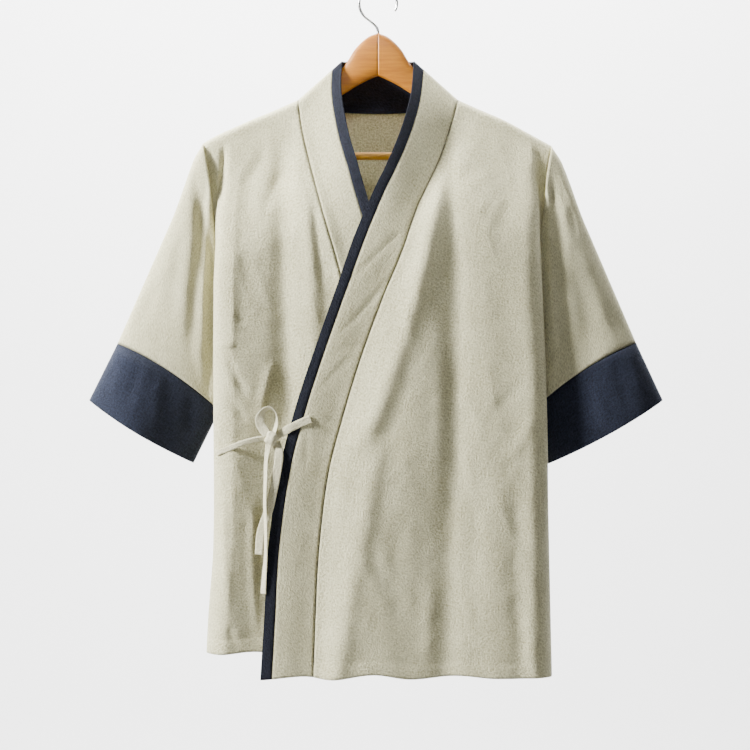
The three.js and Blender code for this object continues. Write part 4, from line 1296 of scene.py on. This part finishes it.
def hook_points() -> np.ndarray:
    """Work out the wire hook, from its tip over the top and down into the wood.

    Returns:
        The grid of points.
    """
    centre = HOOK_WIRE - HOOK_RADIUS
    angle = np.radians(np.linspace(HOOK_START, HOOK_END, 60))
    bend = np.stack([HOOK_RADIUS * np.cos(angle), centre + HOOK_RADIUS * np.sin(angle)], axis=-1)
    stem = Table("n x z", *[(n, x, z) for n, (x, z) in enumerate((*bend[-2:], *HOOK_STEM))])
    steps = np.linspace(1, len(HOOK_STEM) + 1, 26)[1:]
    line = np.concatenate([bend, np.stack([stem.at("n", steps, "x"), stem.at("n", steps, "z")], axis=-1)])
    radius = np.full(len(line), float(HOOK_WIRE))
    radius[:3] *= (0.5, 0.85, 0.97)
    return rod_points(line, radius, 20)


class Graph:
    """The nodes of one material, added one after another."""

    def __init__(self, name: str) -> None:
        """Start a material with one shader.

        Args:
            name: the material's name.
        """
        self.material = bpy.data.materials.new(name)
        self.material.use_nodes = True
        self.tree = self.material.node_tree
        self.shader = self.tree.nodes["Principled BSDF"]

    def add(self, kind: str, inputs: dict | None = None, **settings):
        """Add a node.

        Args:
            kind: the node's type.
            inputs: sockets by name or number, each with a value or a socket to link.
            settings: the node's own properties.

        Returns:
            The node.
        """
        node = self.tree.nodes.new(kind)
        for name, value in settings.items():
            setattr(node, name, value)
        self.fill(node, inputs or {})
        return node

    def fill(self, node, inputs: dict) -> None:
        """Link or set inputs of a node.

        Args:
            node: the node.
            inputs: sockets by name or number, each with a value or a socket to link.
        """
        for name, value in inputs.items():
            if isinstance(value, bpy.types.NodeSocket):
                self.tree.links.new(value, node.inputs[name])
            else:
                node.inputs[name].default_value = value

    def math(self, operation: str, first, second=0.0, third=0.0):
        """Add one sum.

        Args:
            operation: the kind of sum.
            first: a socket or a number.
            second: a socket or a number.
            third: a socket or a number.

        Returns:
            The result's socket.
        """
        return self.add("ShaderNodeMath", {0: first, 1: second, 2: third}, operation=operation).outputs[0]

    def blend(self, share, first, second):
        """Mix two colours.

        Args:
            share: a socket or a number.
            first: the colour where the share is 0.
            second: the colour where it is 1.

        Returns:
            The mixed colour's socket.
        """
        return self.add("ShaderNodeMix", {0: share, 6: first, 7: second}, data_type="RGBA").outputs[2]

    def ramp(self, tone, dark: tuple, light: tuple):
        """Turn a tone into a colour.

        Args:
            tone: the tone's socket.
            dark: red, green and blue where it is 0 or less.
            light: red, green and blue where it is 1 or more.

        Returns:
            The colour's socket.
        """
        share = self.add("ShaderNodeClamp", {0: tone}).outputs[0]
        return self.blend(share, (*dark, 1), (*light, 1))

    def swayed(self, tone, pattern, amount: float):
        """Let a pattern push a tone up and down.

        Args:
            tone: a socket or a number.
            pattern: the pattern's socket, about 0 to 1.
            amount: how strongly it pushes.

        Returns:
            The new tone's socket.
        """
        return self.math("MULTIPLY_ADD", self.math("SUBTRACT", pattern, 0.5), amount, tone)

    def bump(self, height, distance: float, strength: float, under: dict | None = None):
        """Add a relief.

        Args:
            height: the socket of its heights.
            distance: its depth in metres.
            strength: its strength.
            under: the normal of a relief below it, as {"Normal": socket}.

        Returns:
            The normal's socket.
        """
        inputs = {"Height": height, "Distance": distance, "Strength": strength, **(under or {})}
        return self.add("ShaderNodeBump", inputs).outputs[0]

    def noise(self, place, scale: float, detail: float = 3.0, rough: float = 0.5):
        """Add a noise pattern.

        Args:
            place: the socket of its coordinates.
            scale: its scale.
            detail: its detail.
            rough: its roughness.

        Returns:
            The pattern's socket, about 0 to 1.
        """
        inputs = {"Vector": place, "Scale": scale, "Detail": detail, "Roughness": rough}
        return self.add("ShaderNodeTexNoise", inputs).outputs["Fac"]

    def stretched(self, place, scale: tuple):
        """Stretch coordinates.

        Args:
            place: the socket of the coordinates.
            scale: the scale along each of them.

        Returns:
            The stretched coordinates' socket.
        """
        return self.add("ShaderNodeMapping", {"Vector": place, "Scale": scale}).outputs["Vector"]


@dataclass(frozen=True)
class Linen:
    """A plain-woven cloth with uneven threads, with painted shade where it sinks into its seams."""

    name: str
    slot: str
    light: tuple
    dark: tuple
    pitch: float = 0.65
    slub: float = 0.5
    rough: float = 0.88
    sheen: float = 0.25
    sheen_tint: tuple = (1.0, 0.97, 0.9, 1.0)
    crinkle: float = 0.3
    crepe: float = 0.8
    grain: float = 400.0

    def material(self) -> bpy.types.Material:
        """Make the material. Its UV map is in metres along the threads.

        Returns:
            The material.
        """
        graph = Graph(self.name)
        place = graph.add("ShaderNodeUVMap", uv_map="weave").outputs["UV"]
        parts = graph.add("ShaderNodeSeparateXYZ", {0: place})
        turns = math.pi / (self.pitch * MM)
        warp = graph.math("SINE", graph.math("MULTIPLY", parts.outputs[0], turns))
        weft = graph.math("SINE", graph.math("MULTIPLY", parts.outputs[1], turns))
        over = graph.math("GREATER_THAN", graph.math("MULTIPLY", warp, weft), 0.0)
        thread = graph.math(
            "ADD",
            graph.math("MULTIPLY", graph.math("ABSOLUTE", warp), over),
            graph.math("MULTIPLY", graph.math("ABSOLUTE", weft), graph.math("SUBTRACT", 1.0, over)),
        )
        down = graph.noise(graph.stretched(place, (760, 60, 1)), 1.0, 2.0)
        across = graph.noise(graph.stretched(place, (55, 820, 1)), 1.0, 2.0)
        slubs = graph.math("MULTIPLY", graph.math("ADD", down, across), 0.5)
        grain = graph.noise(place, self.grain, 3.0, 0.65)
        cloudy = graph.noise(place, 16.0, 3.0, 0.6)
        tone = graph.swayed(0.45, slubs, 2.6 * self.slub)
        tone = graph.swayed(graph.swayed(tone, cloudy, 0.6), grain, 3.0)
        tone = graph.math("MULTIPLY_ADD", thread, 0.12, tone)
        colour = graph.ramp(tone, self.dark, self.light)
        # Painted shade: the seam mask darkens the colour towards a shadow tone in the seams' grooves.
        painted_seam_shade = graph.add("ShaderNodeAttribute", attribute_name="seam").outputs["Fac"]
        shadow = (*[0.3 * part for part in self.dark], 1)
        crinkles = graph.noise(graph.stretched(place, (95, 60, 1)), 1.0, 3.0, 0.5)
        soft = graph.bump(crinkles, 0.002, self.crinkle)
        crepe = graph.bump(grain, 0.003, self.crepe, {"Normal": soft})
        rows = graph.math("MULTIPLY_ADD", thread, 0.5, slubs)
        graph.fill(graph.shader, {
            "Base Color": graph.blend(graph.math("MULTIPLY", painted_seam_shade, 0.8), colour, shadow),
            "Roughness": graph.math("MULTIPLY_ADD", slubs, -0.1, self.rough + 0.05),
            "Sheen Weight": self.sheen,
            "Sheen Roughness": 0.5,
            "Sheen Tint": self.sheen_tint,
            "Specular IOR Level": 0.2,
            "Normal": graph.bump(rows, 0.00025, 0.6, {"Normal": crepe}),
        })
        return graph.material


@dataclass(frozen=True)
class Wood:
    """Varnished wood with its grain along the arms."""

    name: str
    slot: str
    light: tuple
    dark: tuple
    grain: float = 1.0

    def material(self) -> bpy.types.Material:
        """Make the material.

        Returns:
            The material.
        """
        graph = Graph(self.name)
        place = graph.add("ShaderNodeTexCoord").outputs["Object"]
        lines = graph.noise(graph.stretched(place, (14, 260, 260)), self.grain, 5.0, 0.6)
        broad = graph.noise(graph.stretched(place, (5, 40, 40)), 1.0, 2.0)
        pores = graph.noise(graph.stretched(place, (90, 1400, 1400)), 1.0, 2.0)
        tone = graph.swayed(graph.swayed(graph.swayed(0.5, lines, 2.2), broad, 1.0), pores, 0.5)
        graph.fill(graph.shader, {
            "Base Color": graph.ramp(tone, self.dark, self.light),
            "Roughness": graph.math("MULTIPLY_ADD", lines, 0.15, 0.42),
            "Coat Weight": 0.05,
            "Coat Roughness": 0.3,
            "Normal": graph.bump(lines, 0.0002, 0.3),
        })
        return graph.material


@dataclass(frozen=True)
class Wire:
    """Drawn steel wire with faint streaks."""

    name: str
    slot: str
    colour: tuple

    def material(self) -> bpy.types.Material:
        """Make the material.

        Returns:
            The material.
        """
        graph = Graph(self.name)
        place = graph.add("ShaderNodeTexCoord").outputs["Object"]
        streaks = graph.noise(place, 900.0, 3.0)
        graph.fill(graph.shader, {
            "Base Color": graph.ramp(streaks, tuple(0.75 * part for part in self.colour), self.colour),
            "Metallic": 1.0,
            "Roughness": graph.math("MULTIPLY_ADD", streaks, 0.15, 0.2),
            "Normal": graph.bump(streaks, 0.0001, 0.2),
        })
        return graph.material


class Finish(Enum):
    """The finishes of the jacket and its hanger, each with its name and the record's slot that it fills."""

    CLOTH = Linen("beige_linen", "cloth", (0.79, 0.755, 0.50), (0.43, 0.395, 0.215))
    BAND = Linen("collar_linen", "collar_cloth", (0.79, 0.755, 0.50), (0.43, 0.395, 0.215), crinkle=0.45)
    # The ties are the body's beige linen; this copy with lighter dark tones is painted light.
    TIE = Linen("tie_linen_painted_light", "tie_cloth", (0.78, 0.74, 0.52), (0.52, 0.48, 0.30), crinkle=0.3, crepe=0.5)
    NAVY = Linen(
        "navy_linen", "navy", (0.019, 0.024, 0.044), (0.007, 0.009, 0.017), slub=0.7, sheen=0.08,
        sheen_tint=(0.75, 0.82, 1.0, 1.0), crepe=0.6,
    )
    # The collar's edging is the same navy cloth as the cuffs; this darker copy of it is painted shade.
    NAVY_PAINTED_SHADE = Linen(
        "edging_navy_painted_shade", "navy", (0.014, 0.016, 0.026), (0.006, 0.007, 0.012), slub=0.7, sheen=0.03,
        sheen_tint=(0.75, 0.82, 1.0, 1.0), crepe=0.6,
    )
    WOOD = Wood("hanger_wood", "wood", (0.50, 0.185, 0.002), (0.32, 0.10, 0.001))
    BAR = Wood("bar_wood", "wood", (0.70, 0.34, 0.012), (0.46, 0.19, 0.006), 1.3)
    STEEL = Wire("hook_steel", "hook_wire", (0.62, 0.61, 0.59))


# Half width of the painted shade at the seams, in millimetres.
SHADE_WIDE = 1.1


def sewn_shade(points: np.ndarray, seams: str) -> np.ndarray:
    """Say where a piece's cloth sinks into a seam, where its material paints shade into the groove.

    Args:
        points: the grid.
        seams: the sides that are sewn to another piece.

    Returns:
        1 on the seams and 0 away from them.
    """
    shade = np.zeros(points.shape[:2])
    lines = {"first": points[:, :1], "last": points[:, -1:], "top": points[:1], "low": points[-1:]}
    for side in seams.split():
        away = np.linalg.norm(points - lines[side], axis=-1)
        shade = np.maximum(shade, hump(away, SHADE_WIDE))
    return shade


def grid(rows: int, columns: int) -> tuple:
    """Start a mesh as a grid.

    Args:
        rows: the points down.
        columns: the points across.

    Returns:
        The mesh, and the row and column of every point by its index.
    """
    mesh = bmesh.new()
    bmesh.ops.create_grid(mesh, x_segments=columns - 1, y_segments=rows - 1, size=1.0)
    mesh.verts.index_update()
    spots = {}
    for vertex in mesh.verts:
        row, column = round((vertex.co.y + 1) / 2 * (rows - 1)), round((vertex.co.x + 1) / 2 * (columns - 1))
        spots[vertex.index] = (row, column)
    for face in mesh.faces:
        face.smooth = True
    return mesh, spots


def linked(name: str, data) -> bpy.types.Object:
    """Put an object in the scene.

    Args:
        name: its name.
        data: its mesh, light or camera.

    Returns:
        The object.
    """
    made = bpy.data.objects.new(name, data)
    bpy.context.scene.collection.objects.link(made)
    return made


def finished(name: str, mesh: bmesh.types.BMesh, material: bpy.types.Material) -> bpy.types.Object:
    """Make an object of a mesh that is done.

    Args:
        name: its name.
        mesh: the mesh, which is freed.
        material: its material.

    Returns:
        The object.
    """
    data = bpy.data.meshes.new(name)
    mesh.to_mesh(data)
    mesh.free()
    data.materials.append(material)
    return linked(name, data)


def faces_in(mesh: bmesh.types.BMesh, inside: Vector) -> bool:
    """Say whether a mesh faces inwards.

    Args:
        mesh: the mesh.
        inside: a point on its inner side.

    Returns:
        Whether most of it does.
    """
    outward = 0.0
    for face in mesh.faces:
        outward += (face.calc_center_median() - inside).dot(face.normal) * face.calc_area()
    return outward < 0


@dataclass
class Workshop:
    """Makes the meshes and keeps one material for each finish."""

    made: dict = field(default_factory=dict)

    def finish(self, kind: Finish) -> bpy.types.Material:
        """Give the material of a finish.

        Args:
            kind: the finish.

        Returns:
            The material.
        """
        if kind not in self.made:
            self.made[kind] = kind.value.material()
        return self.made[kind]

    def sheet(self, name: str, points: np.ndarray, kind: Finish, wall: float = 0.0, inside: tuple = (0, 0, 0),
              closed: bool = False, capped: bool = False, seams: str = "") -> bpy.types.Object:
        """Make a mesh from a grid of points.

        Args:
            name: the piece's name.
            points: the grid, in millimetres.
            kind: its finish.
            wall: a thickness that is added on the inner side.
            inside: a point on the inner side of a sheet that isn't capped.
            closed: whether the last column meets the first.
            capped: whether both end rings are filled.
            seams: the sides that are sewn to another piece, of "first", "last", "top" and "low".

        Returns:
            The object.
        """
        rows, columns = points.shape[:2]
        mesh, spots = grid(rows, columns)
        weave, seam = mesh.loops.layers.uv.new("weave"), mesh.verts.layers.float.new("seam")
        runs = np.linalg.norm(np.diff(points, axis=1), axis=-1)
        drops = np.linalg.norm(np.diff(points, axis=0), axis=-1)
        along = np.concatenate([np.zeros((rows, 1)), np.cumsum(runs, axis=1)], axis=1)
        along = along - along[:, columns // 2 : columns // 2 + 1]
        down = np.concatenate([np.zeros((1, columns)), np.cumsum(drops, axis=0)], axis=0)
        # The seam layer carries where the material paints shade into the seams.
        shade = sewn_shade(points, seams)
        for vertex in mesh.verts:
            vertex.co = points[spots[vertex.index]] * MM
            vertex[seam] = shade[spots[vertex.index]]
            for loop in vertex.link_loops:
                loop[weave].uv = (along[spots[vertex.index]] * MM, down[spots[vertex.index]] * MM)
        if closed:
            bmesh.ops.remove_doubles(mesh, verts=mesh.verts[:], dist=SAME_PLACE)
        mesh.normal_update()
        if capped:
            bmesh.ops.holes_fill(mesh, edges=[edge for edge in mesh.edges if edge.is_boundary], sides=0)
            bmesh.ops.recalc_face_normals(mesh, faces=mesh.faces[:])
        elif faces_in(mesh, Vector(inside) * MM):
            bmesh.ops.reverse_faces(mesh, faces=mesh.faces[:])
        piece = finished(name, mesh, self.finish(kind))
        if wall:
            thick = piece.modifiers.new("wall", "SOLIDIFY")
            thick.thickness = wall * MM
            thick.offset = -1
        return piece

    def joined(self, piece: bpy.types.Object, node: str, kind: Finish) -> None:
        """Tie a piece to the body, and hide the imported node that it stands for.

        Args:
            piece: the object.
            node: the node's name.
            kind: its finish; not used.
        """
        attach(piece, "root")
        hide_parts(node)


@dataclass(frozen=True)
class Cut:
    """What a sheet of cloth was cut to: width and length in metres, and its area where it is no rectangle."""

    wide: float
    long: float
    area: float | None = None
    held: str = "hung"


BODY_INSIDE = (0, 0, -500)
BODY_WALL = 1.1
BAND_WALL = 2.0
CUFF_WALL = 1.8
FACING_WALL = 0.8
FACING_GAP = 0.5
TIE_WALL = 1.5


@dataclass
class Garment:
    """Base of the jacket's sub-assemblies."""

    shop: Workshop

    def sew(self, node: str, points: np.ndarray, kind: Finish, wall: float = 0.0, inside: tuple = BODY_INSIDE,
            closed: bool = False, capped: bool = False, seams: str = "") -> None:
        """Make one cloth piece.

        Args:
            node: the node that it stands for.
            points: its grid.
            kind: its finish.
            wall: its thickness.
            inside: a point on its inner side.
            closed: whether it is a tube.
            capped: whether the tube's ends are filled.
            seams: the sides that are sewn to another piece.
        """
        piece = self.shop.sheet(f"soft_{node}", points, kind, wall, inside, closed, capped, seams)
        self.shop.joined(piece, node, kind)

    def rests_on(self) -> list[str]:
        """Name what the cloth rests on.

        Returns:
            The names.
        """
        return ["wood_arm_left", "wood_arm_right"]


@dataclass
class Body(Garment):
    """The two fronts, the back and the collar."""

    def build(self) -> None:
        """Make the pieces."""
        for half, name in ((LEFT, "left"), (RIGHT, "right")):
            self.sew(f"front_{name}", front_points(half), Finish.CLOTH, BODY_WALL, seams="first")
            band = collar_points(half, 0, EDGING_START, BAND_STEPS)
            self.sew(f"collar_band_{name}", band, Finish.BAND, BAND_WALL, seams="first last")
            # The edging takes the darker navy copy, which is painted shade.
            edging = collar_points(half, EDGING_START, 1, EDGING_STEPS)
            self.sew(f"collar_edge_{name}", edging, Finish.NAVY_PAINTED_SHADE, BAND_WALL)
        self.sew("back", back_points(), Finish.CLOTH, BODY_WALL)
        band = neck_points(0, EDGING_START, BAND_STEPS)
        self.sew("collar_band_neck", band, Finish.BAND, BAND_WALL, seams="first last")
        edging = neck_points(EDGING_START, 1, EDGING_STEPS)
        self.sew("collar_edge_neck", edging, Finish.NAVY_PAINTED_SHADE, BAND_WALL)
        facing = neck_points(FACING_START, EDGING_START, BAND_STEPS, BAND_WALL + FACING_GAP)
        self.sew("neck_facing", facing, Finish.NAVY, FACING_WALL)


@dataclass
class Sleeves(Garment):
    """The sleeves and their cuffs."""

    def build(self) -> None:
        """Make the pieces."""
        for half, name in ((LEFT, "left"), (RIGHT, "right")):
            inside = (270 * half.side, 0, -450)
            points = sleeve_points(half)
            self.sew(f"sleeve_{name}", points, Finish.CLOTH, BODY_WALL, inside, closed=True, seams="low")
            inside = (285 * half.side, 0, -535)
            points = cuff_points(half)
            self.sew(f"cuff_{name}", points, Finish.NAVY, CUFF_WALL, inside, closed=True, seams="top")


@dataclass
class Ties(Garment):
    """The tied bow."""

    def build(self) -> None:
        """Make the pieces."""
        for n, (node, rows) in enumerate(TIES.items()):
            self.sew(node, tie_points(rows, TIE_WALL, TIE_SEED + n), Finish.TIE, closed=True, capped=True)
        self.sew("tie_knot", knot_points(), Finish.TIE, closed=True, capped=True)

    def rests_on(self) -> list[str]:
        """Name what the ties rest on.

        Returns:
            The names.
        """
        return ["soft_front_right"]


@dataclass
class Hanger:
    """The wooden hanger with its bar and hook."""

    shop: Workshop

    def build(self) -> None:
        """Make the pieces."""
        for side, name in ((1, "left"), (-1, "right")):
            self.solid(f"wood_arm_{name}", f"hanger_arm_{name}", arm_points(side), Finish.WOOD)
        self.solid("wood_bar", "hanger_bar", bar_points(), Finish.BAR)
        self.solid("wire_hook", "hanger_hook", hook_points(), Finish.STEEL)

    def solid(self, name: str, node: str, points: np.ndarray, kind: Finish) -> None:
        """Make one closed piece.

        Args:
            name: its name.
            node: the node that it stands for.
            points: its rings.
            kind: its finish.
        """
        piece = self.shop.sheet(name, points, kind, closed=True, capped=True)
        self.shop.joined(piece, node, kind)


@dataclass(frozen=True)
class Lamp:
    """A square soft light: its place and what it faces, its side, its watts and the degrees that it fills."""

    name: str
    place: tuple
    target: tuple
    size: float
    energy: float
    spread: float = 180


@dataclass
class Studio:
    """The camera, the lights and the backdrop."""

    paper_half: float = 5.0
    camera_place: tuple = (-0.0038, -3.0, -0.496)
    view_width: float = 0.956
    even_light: float = 0.03
    lamps: tuple = (
        Lamp("key", (-2.4, -0.88, 0.75), (0.0, 0.0, -0.5), 0.55, 385),
        Lamp("front", (-0.4, -3.4, -0.2), (0.0, 0.0, -0.5), 1.2, 7),
        Lamp("neck", (0.0, -1.2, 0.55), (0.0, 0.04, -0.16), 0.3, 0.22, 24),
        Lamp("wall", (0.0, 1.2, 1.9), (0.0, 2.75, -0.6), 3.0, 620),
    )

    def build(self) -> None:
        """Set them up."""
        self.camera()
        for lamp in self.lamps:
            self.light(lamp)
        self.surround()
        self.backdrop()

    def camera(self) -> None:
        """Place the camera where the photo was taken from."""
        data = bpy.data.cameras.new("camera")
        data.sensor_fit = "HORIZONTAL"
        data.angle = 2 * math.atan(self.view_width / 2 / -self.camera_place[1])
        camera = linked("camera", data)
        camera.location = self.camera_place
        camera.rotation_euler = (math.pi / 2, 0, 0)
        bpy.context.scene.camera = camera

    def light(self, lamp: Lamp) -> None:
        """Add a light.

        Args:
            lamp: the light.
        """
        data = bpy.data.lights.new(lamp.name, "AREA")
        data.size = lamp.size
        data.energy = lamp.energy
        data.spread = math.radians(lamp.spread)
        placed_lamp = linked(lamp.name, data)
        placed_lamp.location = lamp.place
        aim = Vector(lamp.target) - Vector(lamp.place)
        placed_lamp.rotation_euler = aim.to_track_quat("-Z", "Y").to_euler()

    def surround(self) -> None:
        """Fill the room with weak even light."""
        world = bpy.data.worlds.new("room")
        world.use_nodes = True
        background = world.node_tree.nodes["Background"]
        background.inputs["Color"].default_value = (1.0, 1.0, 1.0, 1.0)
        background.inputs["Strength"].default_value = self.even_light
        bpy.context.scene.world = world

    def backdrop(self) -> None:
        """Add a white wall that curves down to the floor, and a pale floor under the jacket."""
        wall = ((0.6, -2.6), (1.2, -2.58), (1.9, -2.4), (2.4, -2.0), (2.66, -1.3), (2.7, -0.5), (2.7, 3.2))
        self.paper("backdrop", wall, (0.9, 0.9, 0.9), (0.93, 0.93, 0.93))
        self.paper("floor", ((-5.0, -2.6), (0.6, -2.6)), (0.46, 0.46, 0.46), (0.5, 0.5, 0.5))

    def paper(self, name: str, line: tuple, dark: tuple, light: tuple) -> None:
        """Add a wide sheet of paper that follows a line.

        Args:
            name: its name.
            line: the line's points, as (y, z).
            dark: its darker colour.
            light: its lighter colour.
        """
        graph = Graph(f"{name}_paper")
        place = graph.add("ShaderNodeTexCoord").outputs["Object"]
        colour = graph.ramp(graph.noise(place, 6.0, 2.0), dark, light)
        graph.fill(graph.shader, {"Base Color": colour, "Roughness": 0.95})
        mesh, spots = grid(len(line), 2)
        for vertex in mesh.verts:
            vertex.co = (self.paper_half * vertex.co.x, *line[spots[vertex.index][0]])
        sheet = finished(name, mesh, graph.material)


def main() -> None:
    """Build the jacket, its hanger and the studio."""
    logging.basicConfig(level=logging.INFO)
    shop = Workshop()
    for part in (Hanger(shop), Body(shop), Sleeves(shop), Ties(shop)):
        part.build()
        log.info("built %s", type(part).__name__)
    Studio().build()


if __name__ == "__main__":
    main()
